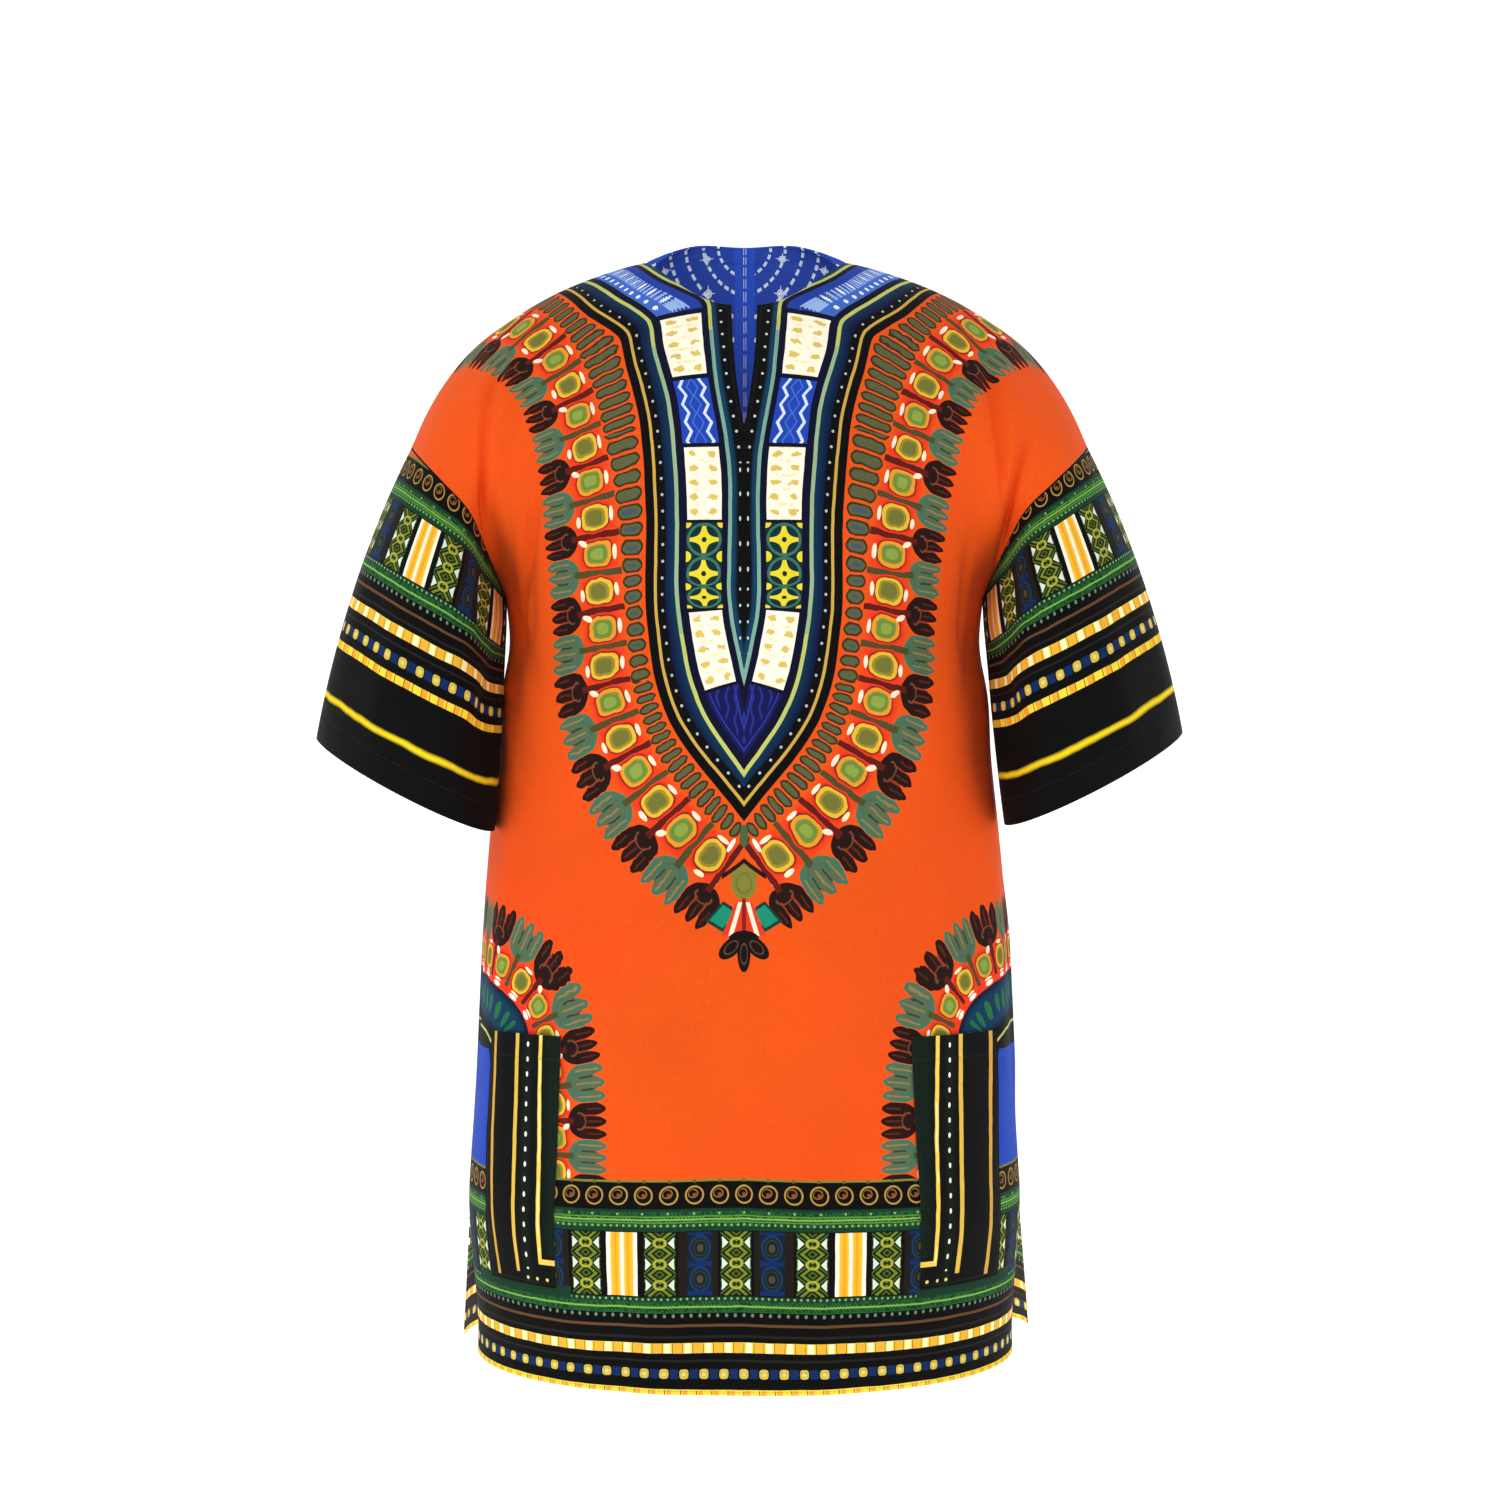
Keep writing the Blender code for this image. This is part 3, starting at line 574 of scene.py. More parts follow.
def fringe_print(dyes, ring, run, pitch, size, heel, keep):
    """Fringe along a line: ringed cells with stems between them, and two kinds of tulip in turn.

    ring is the distance outward from the line of cells and run the length along it, 0 at the
    middle of a cell. Each tulip grows from a stem, starts at its heel and has three fingers.
    """
    wide = pitch / FRINGE_PITCH
    cell = run.wrapped(pitch)
    dyes.lay((230, 58, 28), ring.near(-0.0005 * size, 0.0150 * size, 0.0030) * 0.75 & keep)
    stem = ring.between(-0.0178 * size, heel + 0.0040) & keep
    rise = (ring - heel) * (1 / 0.0275)
    for start, ground, gap in ((pitch / 2, BROWN_BLACK, (146, 52, 30)),
                               (-pitch / 2, (52, 116, 94), (40, 66, 50))):
        x = abs((run - start).wrapped(2 * pitch))
        tooth = x.every(0.0083 * wide)
        teeth = tooth * tooth * (18000 / wide ** 2)
        outline = oval(x, rise.by("MINIMUM", 0.42) - 0.42, 0.0120 * wide, 0.43)
        body = outline.under(1) & (rise + teeth).under(1) & rise.over(-0.02) & keep
        dyes.lay(ground, body)
        fingers = rise.over(0.36) & body
        if ground is BROWN_BLACK:
            curl = oval(x, rise - 0.30, 0.0056 * wide, 0.16)
            dyes.lay((104, 66, 42), curl.near(1, 0.12) & rise.over(0.24) & body)
            dyes.lay((84, 34, 24), tooth.under(0.0006 * wide) & rise.between(0.50, 0.88) & body)
        else:
            dyes.lay((86, 102, 74), outline.under(0.86) & (rise + teeth).under(0.93) & body)
            dyes.lay((58, 108, 86), oval(x, rise - 0.42, 0.0072 * wide, 0.26).near(1, 0.11)
                     & rise.under(0.50) & body)
            dyes.lay((132, 122, 78), tooth.under(0.0006 * wide) & rise.between(0.28, 0.90) & body)
        dyes.lay(gap, (x - 0.0040 * wide).near(0, 0.0006 * wide) & fingers)
        dyes.lay((92, 26, 20) if ground is BROWN_BLACK else (78, 72, 38),
                 x.under(0.0021 * wide) & stem)

    other = abs(run.wrapped(2 * pitch)).over(pitch / 2)
    rim = oval(abs(cell).by("POWER", 1.35), abs(ring + 0.0004 * size).by("POWER", 1.35),
               (0.0107 * wide) ** 1.35, (0.0132 * size) ** 1.35)
    rim = rim + uneven(dyes.tree, 160, 0.20)
    dyes.lay((232, 50, 30), rim.under(1) & keep)
    dyes.lay((134, 44, 22), rim.under(0.85) & keep)
    dyes.lay((230, 180, 50), rim.under(0.73) & keep)
    dyes.lay((226, 150, 42), rim.under(0.73) & other & keep)
    dyes.lay((150, 132, 48), rim.under(0.50) & keep)
    dyes.lay((112, 112, 48), rim.under(0.34) & keep)
    dyes.lay((98, 136, 58), rim.under(0.42) & other & keep)
    dyes.lay((138, 156, 66), rim.under(0.24) & other & keep)
    pale = (246, 228, 198)
    dyes.lay(pale, spot(cell, ring + 0.0134 * size, 0.0046 * wide, 0.0016 * size) & keep)
    dyes.lay(pale, spot(cell - 0.0010, ring - 0.0128 * size, 0.0038 * wide, 0.0017 * size)
             & ~other & keep)
    lean_x, lean_y = cell + 0.0082 * wide, ring - 0.0104 * size
    dyes.lay(pale, spot(lean_x + lean_y * 0.6, lean_y - lean_x * 0.6, 0.0022 * wide,
                        0.0042 * size) & other & keep)


def bar_print(dyes, gold, ring, run, down):
    """Row of small upright bars from the yoke's edge to the fringe: wide ones on the chest."""
    wide = down.between(0.168, 0.300)
    from_ends = (gold - 0.0088).by("MINIMUM", -ring - 0.0180)
    for pitch, half, where in ((0.0108, 0.0045, wide), (0.0080, 0.0033, ~wide & run.under(-0.010))):
        beside = abs(run.wrapped(pitch))
        for shrink, colour in ((0.0, (58, 48, 28)), (0.0013, (88, 92, 60))):
            taper = (from_ends - shrink).by("MAXIMUM", 0.0).by("MINIMUM", 0.0030) * (1 / 0.0030)
            dyes.lay(colour, (beside - taper.by("SQRT") * (half - shrink)).under(0)
                     & from_ends.over(shrink) & where)
        if where is wide:
            dyes.lay((66, 84, 96), spot(beside, from_ends - 0.0085, 0.0014, 0.0050)
                     & down.between(0.200, 0.285))


def tip_print(dyes, across, below):
    """End of the fringe on the centre line: a half-round, two stems, a red spray, a black tulip."""
    x = abs(across)
    cm = 0.01
    dyes.lay((74, 96, 58), spot(x, below + 2.95 * cm, 0.40 * cm, 0.72 * cm))
    for side_x, side_down in ((1.05, -2.35), (1.02, -0.05)):
        dash_x, dash_y = x - side_x * cm, below - side_down * cm
        dyes.lay(CREAM, spot(dash_x * 0.8 - dash_y * 0.6, dash_x * 0.6 + dash_y * 0.8,
                             0.16 * cm, 0.52 * cm) & below.under(-0.01))
    dyes.lay(OLIVE, spot(x, below.by("MAXIMUM", 0.0), 1.04 * cm, 1.12 * cm)
             & (below - x * 0.55).over(-1.25 * cm))
    dyes.lay((106, 112, 46), oval(x, below - 0.05 * cm, 0.62 * cm, 0.62 * cm).near(1, 0.14))
    dyes.lay(BROWN_BLACK, (below - x * 0.60).near(-1.38 * cm, 0.16 * cm) & x.under(1.72 * cm))
    wing = abs(below - 2.20 * cm - (x - 1.80 * cm) * 0.25)
    wedge = abs(x - 1.60 * cm) * 0.80 + wing
    dyes.lay((18, 60, 50), wedge.under(0.98 * cm) & x.over(0.90 * cm))
    dyes.lay((24, 138, 108), wedge.under(0.74 * cm) & x.over(0.95 * cm))
    spray = (x - (below - 0.4 * cm) * 0.48).under(0.25 * cm) & below.between(1.25 * cm, 3.35 * cm)
    dyes.lay((222, 56, 34), spray)
    dyes.lay((246, 228, 198), (x - (below - 0.9 * cm) * 0.34).near(0.20 * cm, 0.17 * cm) & spray)
    dyes.lay((130, 34, 24), x.under(0.17 * cm) & below.between(1.0 * cm, 3.5 * cm))
    petal_x, petal_y = x - 0.98 * cm, below - 4.10 * cm
    petal = oval(petal_x * 0.80 + petal_y * 0.60, petal_y * 0.80 - petal_x * 0.60,
                 1.02 * cm, 0.54 * cm)
    middle = oval(x, below - 4.50 * cm, 0.52 * cm, 1.15 * cm)
    heel = oval(x, below - 3.55 * cm, 1.15 * cm, 0.52 * cm)
    dyes.lay((22, 16, 14), petal.under(1) | middle.under(1) | heel.under(1))
    dyes.lay((82, 60, 42), (petal.near(0.55, 0.07) | middle.near(0.55, 0.07)))


def yoke_print(dyes, gold, middle, inner, gold_run, inner_run, across, down):
    """Yoke: black edge, gold line, dots, blue band, pale line, columns of small panels, inner band.

    gold, middle and inner are distances outward from the three drawn lines.
    """
    tree = dyes.tree
    dyes.lay(BLACK, gold.under(0.0068))
    dyes.lay((200, 162, 72), gold.near(0, 0.0010))
    dyes.lay((178, 190, 176), spot(gold + 0.0046, gold_run.wrapped(DOT_PITCH), 0.0009, 0.0010))
    band = gold.under(-0.0066) & middle.over(0)
    dyes.lay(NAVY, band)
    dyes.lay(TEAL, band & middle.under(0.0050, 0.0060))
    dyes.lay((12, 14, 40), middle.under(0))
    dyes.lay(LIME, middle.near(0, 0.0013))
    dyes.lay((150, 176, 134), middle.near(0, 0.0013) & down.between(0.125, 0.270))

    left, right = inner - 0.0048, -middle - 0.0060
    column = left.over(0) & right.over(0)
    share = left / (left + right).by("MAXIMUM", 0.0001)
    level = down - share * (down - 0.205) * (down - 0.205) * 0.60
    high = column & level.under(0.0985)
    dyes.lay(SKY, high)
    dyes.lay((62, 104, 196), share.over(0.5) & high)
    dyes.lay((150, 180, 232),
             gold_run.every(0.0036).under(0.0009) & share.between(0.26, 0.66) & high)
    dyes.lay((226, 236, 250), spot(share - 0.46, gold_run.wrapped(DOT_PITCH), 0.17, 0.0012) & high)
    dyes.lay(WHITE, spot(share - 0.84, gold_run.wrapped(0.0080), 0.08, 0.0014) & high)
    ragged = uneven(tree, 330, 2.2)
    for start, end in ((0.1024, 0.1418), (0.1787, 0.2105), (0.2549, 0.3005)):
        panel = column & level.between(start, end) & share.between(0.03, 0.97)
        dyes.lay(CREAM, panel)
        gap = (end - start) / 5
        from_top = level - start - gap / 2
        spots = oval(abs(share - 0.5) - 0.25, from_top.wrapped(gap), 0.12, gap * 0.20) + ragged
        dyes.lay((222, 190, 96), spots.under(1) & panel)
        dyes.lay((246, 228, 160), spot(share - 0.5, (from_top + gap / 2).wrapped(gap), 0.30,
                                       gap * 0.10) & ragged.over(0.05) & panel)
    bright = column & level.between(0.1443, 0.1768)
    dyes.lay(BLUE, bright)
    zigzag = abs(share - 0.5) + down.every(0.0088) * 34
    dyes.lay((210, 224, 248), zigzag.near(0.37, 0.045) & bright)
    dyes.lay((70, 110, 200), (zigzag + 0.2).near(0.36, 0.02) & bright)
    flowers = column & down.between(0.2118, 0.2536)
    dyes.lay((16, 44, 52), flowers)
    petal_x = abs((share - 0.5).wrapped(1.0))
    petal_y = (down - 0.2118 - 0.00698).wrapped(FLOWER_PITCH)
    star = petal_x * abs(petal_y)
    dyes.lay((58, 108, 92), oval(petal_x, petal_y, 0.44, 0.0064).near(1, 0.09) & flowers)
    dyes.lay((226, 208, 48), star.under(0.00030) & spot(petal_x, petal_y, 0.40, 0.0056) & flowers)
    dyes.lay((16, 44, 52), spot(petal_x, petal_y, 0.07, 0.0011) & flowers)
    corner_x, corner_y = abs(share.wrapped(1.0)), (down - 0.2118).wrapped(FLOWER_PITCH)
    dyes.lay((226, 208, 48), spot(corner_x, corner_y, 0.15, 0.0022) & flowers)

    shield = level.over(0.3025) & right.over(0) & inner.over(0.0045)
    dyes.lay((20, 22, 78), shield)
    dyes.lay((42, 52, 148), shield & (right.by("MINIMUM", inner - 0.0045)).near(0.0026, 0.0005))
    ripple = (abs(across) + (down * 420).by("SINE") * 0.0011).every(0.0072)
    dyes.lay((38, 46, 130), shield & right.over(0.0048) & ripple.under(0.0009, 0.0008))

    dyes.lay(BLACK, inner.under(0))
    dyes.lay((18, 58, 86), inner.between(-0.0042, 0, 0.0022))
    dyes.lay(AQUA, inner.near(0, 0.0012))
    dyes.lay(LIME, inner.near(0, 0.0012) & down.under(0.115))
    pearl = (190, 206, 206)
    dyes.lay(pearl, spot(inner + 0.0072, inner_run.wrapped(DOT_PITCH), 0.0009, 0.0010)
             & down.between(0.092, 0.186))
    dyes.lay(pearl, spot(abs(across) - 0.0038, down.wrapped(0.0105), 0.0009, 0.0010)
             & down.between(0.188, 0.283))


def border_print(dyes, height, along):
    """Border above an edge: dashes, dots, ribbons, green bands, a row of panels, rings on black."""
    tree = dyes.tree
    cm = 0.01
    stack = ((0, YELLOW), (0.30, BLACK), (2.62, YELLOW), (3.28, BLACK), (4.25, BROWN),
             (4.42, BLACK), (5.15, GREEN), (5.42, BRIGHT_GREEN), (5.62, GREEN),
             (5.85, DARK_GREEN), (6.15, BLACK),
             (10.25, DARK_GREEN), (10.50, GREEN), (10.88, BRIGHT_GREEN), (11.10, GREEN),
             (11.48, DARK_GREEN), (11.62, BLACK), (13.35, OLIVE), (13.55, ORANGE))
    base = stripes(tree, height, 0.15, [(start * cm, colour) for start, colour in stack])
    dyes.lay(base, height.under(0.1350))
    hatch = (along + height * 0.7).every(0.0022).under(0.0005)
    bands = height.between(0.0520, 0.0585) | height.between(0.1030, 0.1155)
    dyes.lay((22, 66, 34), hatch & bands)
    dyes.lay((20, 58, 34), uneven(tree, 420, 3.0).over(0.16) & bands)
    dyes.lay((124, 176, 72), height.near(0.0552, 0.0005) | height.near(0.1099, 0.0005))
    dyes.lay((86, 140, 56), height.near(0.1081, 0.0004) | height.near(0.1118, 0.0004))
    dyes.lay((120, 80, 20), along.every(0.0100).under(0.0003) & height.under(0.0030))
    dyes.lay((240, 170, 60), along.wrapped(0.0100).between(0.001, 0.0042) & height.under(0.0030))
    square_x, square_y = along.wrapped(0.0127), height - 0.0133
    dyes.lay((14, 42, 92), abs(square_x).over(0.0026) & height.near(0.0133, 0.0030))
    square = oval(abs(square_x).by("POWER", 1.6), abs(square_y).by("POWER", 1.6),
                  0.0029 ** 1.6, 0.0031 ** 1.6)
    dyes.lay(BLACK, square.under(1.5))
    dyes.lay((206, 182, 74), square.under(1))
    dyes.lay((226, 208, 120), spot(square_x, square_y, 0.0013, 0.0013))
    ribbon = height.between(0.0264, 0.0326)
    dyes.lay((240, 176, 56), along.wrapped(RIBBON_PITCH).between(-0.0062, -0.0004) & ribbon)
    dyes.lay((248, 240, 196), along.wrapped(RIBBON_PITCH).between(0.0014, 0.0050) & ribbon)
    dyes.lay((150, 104, 34), along.every(0.0065).under(0.0003) & ribbon)
    dyes.lay((34, 30, 26), height.near(0.0366, 0.0008) | height.near(0.0215, 0.0007))
    dyes.lay((112, 128, 104), spot(along.wrapped(0.0056), height - 0.0498, 0.0010, 0.0012))
    for at, pitch in ((0.1137, 0.0160), (0.1062, 0.0040), (0.0602, 0.0040)):
        dyes.lay((128, 172, 110), spot(along.wrapped(pitch), height - at, 0.0008, 0.0008))

    row = height.between(0.0622, 0.1020)
    along = along + 0.0050
    lattice_x, cell_y = abs(along.wrapped(0.0478)), (height - 0.0626).wrapped(LATTICE_PITCH)
    lattice = lattice_x.under(0.0098) & row
    dyes.lay((24, 38, 14), lattice)
    diamond = lattice_x * 0.80 + abs(cell_y)
    dyes.lay((150, 166, 52), diamond.near(0.0052, 0.0008) & lattice)
    dyes.lay((92, 112, 36), (lattice_x * 0.80 + abs(cell_y) - 0.0052).every(0.0032).under(0.0004)
             & lattice)
    between_y = (height - 0.0626 + 0.00655).wrapped(LATTICE_PITCH)
    dyes.lay((168, 168, 58), oval(lattice_x, between_y, 0.0036, 0.0026).near(1, 0.25) & lattice)
    dyes.lay((214, 230, 206), (lattice_x - 0.0052 - abs((height - 0.0560).wrapped(LATTICE_PITCH)))
             .over(0) & lattice_x.under(0.0090) & row)
    step = abs(along)
    dark_x = (step - 0.0240).wrapped(ROW_PITCH)
    dark_panel = abs(dark_x).under(0.0124) & row
    dyes.lay((30, 24, 20), dark_panel)
    blue_part = abs(dark_x + 0.0010).under(0.0078) & row
    dyes.lay((22, 30, 40), blue_part)
    loop = oval(dark_x + 0.0012, (height - 0.0725).wrapped(0.0195), 0.0060, 0.0074)
    dyes.lay((18, 54, 84), loop.near(1, 0.13) & blue_part)
    dyes.lay((42, 56, 50), loop.near(0.66, 0.06) & blue_part)
    dyes.lay((72, 70, 40), loop.under(0.34) & blue_part)
    dyes.lay((16, 42, 94), blue_part & (height.under(0.0652) | height.near(0.0821, 0.0016)
                                           | height.over(0.1002)))
    bar_x = abs((step - 0.0720).wrapped(ROW_PITCH))
    dyes.lay(BLACK, bar_x.under(0.0128) & row)
    dyes.lay(CREAM, bar_x.under(0.0100) & row)
    dyes.lay((244, 186, 44), bar_x.between(0.0012, 0.0074, 0.0012) & row)
    dyes.lay((236, 160, 36), bar_x.near(0.0040, 0.0008, 0.0012) & row)

    along = along - 0.0050
    circle = oval(along.wrapped(CIRCLE_PITCH), height - 0.1252, 0.0062, 0.0062)
    dyes.lay((176, 140, 62), circle.near(0.88, 0.09))
    turned = oval(along.wrapped(CIRCLE_PITCH) + 0.0010, height - 0.1262, 0.0034, 0.0030)
    dyes.lay((132, 100, 46), turned.near(0.88, 0.13) & circle.under(0.68))
    dyes.lay((150, 64, 34), circle.under(0.20))
    dyes.lay((96, 92, 38), along.every(CIRCLE_PITCH).under(0.0009) & height.between(0.1330, 0.1350))


def arch_print(dyes, arch, run, down):
    """Field at the side below the arch: pale dashes on red, a blue-green band, then plain blue."""
    dyes.lay((236, 58, 30), arch.under(-0.0105))
    dyes.lay(CREAM, spot(run.wrapped(ARCH_PITCH), arch + 0.0126, 0.0046, 0.0015))
    dyes.lay((12, 26, 46), arch.under(-0.0148))
    dyes.lay((14, 54, 84), arch.between(-0.0400, -0.0180, 0.004))
    dyes.lay((36, 104, 66), spot(run.wrapped(0.0150), arch + 0.0285, 0.0040, 0.0068))
    dyes.lay(BLACK, arch.under(-0.0430))
    dyes.lay(LIME, arch.near(-0.0500, 0.0009))
    dyes.lay(BLUE, arch.under(-0.0560) & down.over(0.541))


def weave(tree, run, rise):
    """Relief of a plain weave: crossed waves, one thread every half millimetre."""
    turn = 2 * math.pi / 0.0011
    return (run * turn).by("SINE") * (rise * turn).by("SINE")


def cotton(name, print_on, sewing):
    """Printed cotton: soft and matt, dyed by print_on, with weave, seams and stitches in relief.

    sewing gives the amount by which the surface dips or rises at seams and stitches, the mask of
    the thread, and the two directions of the weave. The reverse of the cloth is a little paler,
    and on top of that it is brightened strongly as painted light, lifting the inside of the shirt
    out of the shade that falls there.
    """
    material = bpy.data.materials.new(name)
    material.use_nodes = True
    tree = material.node_tree
    shader = tree.nodes["Principled BSDF"]
    shader.inputs["Sheen Weight"].default_value = 0.02
    shader.inputs["Sheen Roughness"].default_value = 0.45
    shader.inputs["Specular IOR Level"].default_value = 0.07
    dyes = Dyes(tree, ORANGE)
    print_on(dyes)
    relief, thread, run, rise = sewing(tree)
    dyes.lay((58, 48, 40), thread * 0.3)
    side_of_cloth = tree.nodes.new("ShaderNodeAttribute")
    side_of_cloth.attribute_name = "reverse"
    reverse = Amount(tree, side_of_cloth.outputs["Fac"]).over(0.5)
    dyes.lay((196, 190, 184), reverse * 0.04)
    cloudy = tree.nodes.new("ShaderNodeHueSaturation")
    # The two noises give the cloth's own uneven tone. The reverse * 0.75 term is painted light: it
    # raises the reverse side's value so the inside seen through the neck looks lit instead of
    # shaded.
    tone_and_painted_inside_light = uneven(tree, 14, 0.22) + uneven(tree, 420, 0.16) + reverse * 0.75 + 1.0
    tree.links.new(tone_and_painted_inside_light.socket, cloudy.inputs["Value"])
    tree.links.new(dyes.colour, cloudy.inputs["Color"])
    tree.links.new(cloudy.outputs[0], shader.inputs["Base Color"])
    tree.links.new((uneven(tree, 60, 0.16) + 0.76).socket, shader.inputs["Roughness"])
    bump = tree.nodes.new("ShaderNodeBump")
    bump.inputs["Distance"].default_value = 0.001
    bump.inputs["Strength"].default_value = 0.5
    height = relief + weave(tree, run, rise) * 0.035 + uneven(tree, 130, 0.25)
    tree.links.new(height.socket, bump.inputs["Height"])
    tree.links.new(bump.outputs[0], shader.inputs["Normal"])
    return material


def nape_print(dyes, inner, across, down, behind):
    """Inside the yoke of the back: blue with dotted arcs and small stars, and a brighter strip."""
    pale = (214, 242, 255)
    nape = inner.under(-0.0012) & (down - BACK_DROP).under(0.0925) & behind
    dyes.lay((14, 66, 176), nape)
    arc = oval(across, down - 0.066, 0.1, 0.1)
    turn = across.by("ARCTAN2", down - 0.066)
    for radius, dashes in ((0.24, 21), (0.36, 33), (0.50, 37), (0.62, 49)):
        dots = (turn * dashes).by("SINE").over(-0.35)
        dyes.lay(pale, arc.near(radius, 0.011) & dots & nape)
    star_x, star_y = abs(abs(across).wrapped(0.034)), abs((down + 0.004).wrapped(0.026))
    star = (star_x * star_y).under(0.0000012) & spot(star_x, star_y, 0.0056, 0.0056)
    dyes.lay(pale, (star | oval(star_x, star_y, 0.0026, 0.0026).near(1, 0.16)) & nape)
    strip = abs(across).under(0.0105) & down.under(0.165)
    dyes.lay((14, 78, 206), strip & behind)
    dashed = abs(abs(across) - 0.0012).under(0.0004) & down.every(0.0086).under(0.0032)
    dyes.lay((186, 206, 240), dashed & strip & behind)


def panel_print(dyes):
    """The whole print of a front or a back: fringe, yoke, side arches and the border at the hem."""
    tree = dyes.tree
    gold, middle, inner = readings(tree, "yoke")
    gold_run, inner_run, down_yoke = readings(tree, "yoke_run")
    ring, ring_run, across = readings(tree, "fringe")
    arch, arch_run, down = readings(tree, "arch")
    height, behind, _ = readings(tree, "place")
    waver, wander = uneven(tree, 70, 0.0026), uneven(tree, 95, 0.0028)
    drawn_in = abs(down_yoke - 0.140).under(0.045, 0.060) * 0.18 + 1.0
    ring, ring_run, arch = ring * drawn_in + waver, ring_run + wander, arch + waver
    dyes.lay(DEEP_ORANGE, uneven(tree, 7, 1.6) + 0.2)
    last_stem = ring_run.under(-0.0130) | (ring.over(0.0150) & ring_run.under(-0.0030))
    fringe_print(dyes, ring, ring_run + 0.0270, FRINGE_PITCH, 1.0, 0.0145,
                 ring.between(-0.0185, 0.0430) & last_stem)
    bar_print(dyes, gold, ring, ring_run, down_yoke)
    tip_print(dyes, across, down_yoke - 0.4285)
    yoke_print(dyes, gold + waver * 0.3, middle + waver * 0.3, inner + waver * 0.3,
               gold_run, inner_run, across, down_yoke)
    nape_print(dyes, inner, across, down, behind)
    fringe_print(dyes, arch, arch_run, ARCH_PITCH, 0.75, 0.0095,
                 arch.between(-0.0140, 0.0420) & down.over(0.40))
    arch_print(dyes, arch, arch_run, down)
    aside = (abs(across) * 8.5).by("MINIMUM", 1.0)
    sunk = aside * ((height * 33).by("MINIMUM", 1.0) * 0.0026 + height * 0.010)
    height = height + sunk + waver * 0.25
    border_print(dyes, height, across + wander * 0.3)
    dyes.lay(DARK_GREEN, height.between(0.0585, 0.0665) & abs(across).between(0.112, 0.206))


def panel_sewing(tree):
    """Sewing of a panel: sunk seams, a ridge over each turned edge, and rows of stitches."""
    hemmed, hem_run, seamed = readings(tree, "sewn")
    _, _, across = readings(tree, "fringe")
    _, _, down = readings(tree, "arch")
    stitch = hem_run.every(STITCH).under(0.0011)
    thread = (hemmed.near(EDGE_ROW, 0.0003) | hemmed.near(HEM_ROW, 0.0003)) & stitch
    relief = (seamed.under(0.0012, 0.0024) * -0.9 + hemmed.under(HEM_ROW + 0.0005, 0.0010) * 0.35
              - hemmed.near(HEM_ROW, 0.0008, 0.0012) * 0.5
              - hemmed.near(EDGE_ROW, 0.0006, 0.0010) * 0.4 + thread * 0.35)
    return relief, thread, across, down


points, normals, faces, fields = whole_panel("front")
panel_cotton = cotton("panel_cotton", panel_print, panel_sewing)
front, front_area = cloth_shell("front_cotton_panel", points, normals, faces, fields, panel_cotton)
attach(front, "root")
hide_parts("front_panel")

# Back panel
# The same width of cotton with the same print set a little lower, cut with a shallow neck and
# no slit. It is sewn to the front along the shoulders and down the sides to the vents.
points, normals, faces, fields = whole_panel("back")
back, back_area = cloth_shell("back_cotton_panel", points, normals, faces, fields, panel_cotton)
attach(back, "root")
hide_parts("back_panel")

# Sleeves
# Each is one straight piece of border print, sewn round the armhole and closed underneath,
# with its edge turned under and stitched. It hangs open and slightly flared.
CUFF_MIDDLE = (0.2325, -0.028, -0.3630)
CUFF_OUTWARD = (0.0645, 0.026, 0.0330)
CUFF_DEPTH = 0.067
CUFF_DROP_FRONT = 0.006
CUFF_DROP_BACK = -0.010
SLEEVE_BOW_OUTER = 0.004
SLEEVE_BOW_INNER = 0.004
SLEEVE_BOW_FORWARD = 0.020
SLEEVE_AROUND, SLEEVE_LENGTHS = 144, 72
CUFF_BLACK = 0.067          # plain black below the border, with one soft yellow line


def sleeve_grid(side):
    """Sleeve as a tube: straight lines from armhole to cuff oval, bowed forward, then folded."""
    t = np.linspace(0, 1, SLEEVE_AROUND // 2 + 1)
    rings = [through(ARMHOLE["front"], t), through(ARMHOLE["back"], t)[-2:0:-1]]
    armhole = lean(np.concatenate(rings) * [side, 1, 1])
    around = np.concatenate([t / 2, 1 - t[-2:0:-1] / 2])
    outer, fore = np.cos(around * 2 * math.pi), np.sin(around * 2 * math.pi)
    cuff = CUFF_MIDDLE + outer[:, None] * CUFF_OUTWARD - fore[:, None] * [0, CUFF_DEPTH, 0]
    cuff[:, 2] -= np.abs(fore) * np.where(fore > 0, CUFF_DROP_FRONT, CUFF_DROP_BACK)
    if side > 0:
        cuff += [LEAN_OUT, 0, LEAN_UP]
    down = np.linspace(0, 1, SLEEVE_LENGTHS + 1)[:, None]
    bow = (4 * down * (1 - down))[..., None]
    base = armhole + (cuff * [side, 1, 1] - armhole) * down[..., None]
    edge_bow = outer * np.where(outer > 0, SLEEVE_BOW_OUTER, SLEEVE_BOW_INNER)
    base = base + bow * edge_bow[:, None] * [side, 0, 0] - bow * [0, SLEEVE_BOW_FORWARD, 0]
    lift = fold_height("sleeve", around * SLEEVE_ROUND + 0 * down, down * SLEEVE_DOWN + 0 * around)
    wide = np.concatenate([base[:, -1:], base, base[:, :1]], axis=1)
    points = base - facing(wide)[:, 1:-1] * side * lift[..., None]
    points[0] += unit(points[1] - points[0]) * SEAM_DRAW
    wide = np.concatenate([points[:, -1:], points, points[:, :1]], axis=1)
    normals = -facing(wide)[:, 1:-1] * side
    steps = np.linalg.norm(np.diff(base, axis=0), axis=2)
    to_cuff = np.concatenate([np.cumsum(steps[::-1], axis=0)[::-1], np.zeros((1, len(around)))])
    from_seam = to_cuff[0] - to_cuff
    along = (np.where(around > 0.5, around - 1, around) * SLEEVE_ROUND) + 0 * down
    fields = {"sleeve": np.stack([to_cuff, along, from_seam], axis=-1)}
    faces = grid_faces(*points.shape[:2], closed=True)
    return points, normals, faces[:, ::-1] if side > 0 else faces, fields


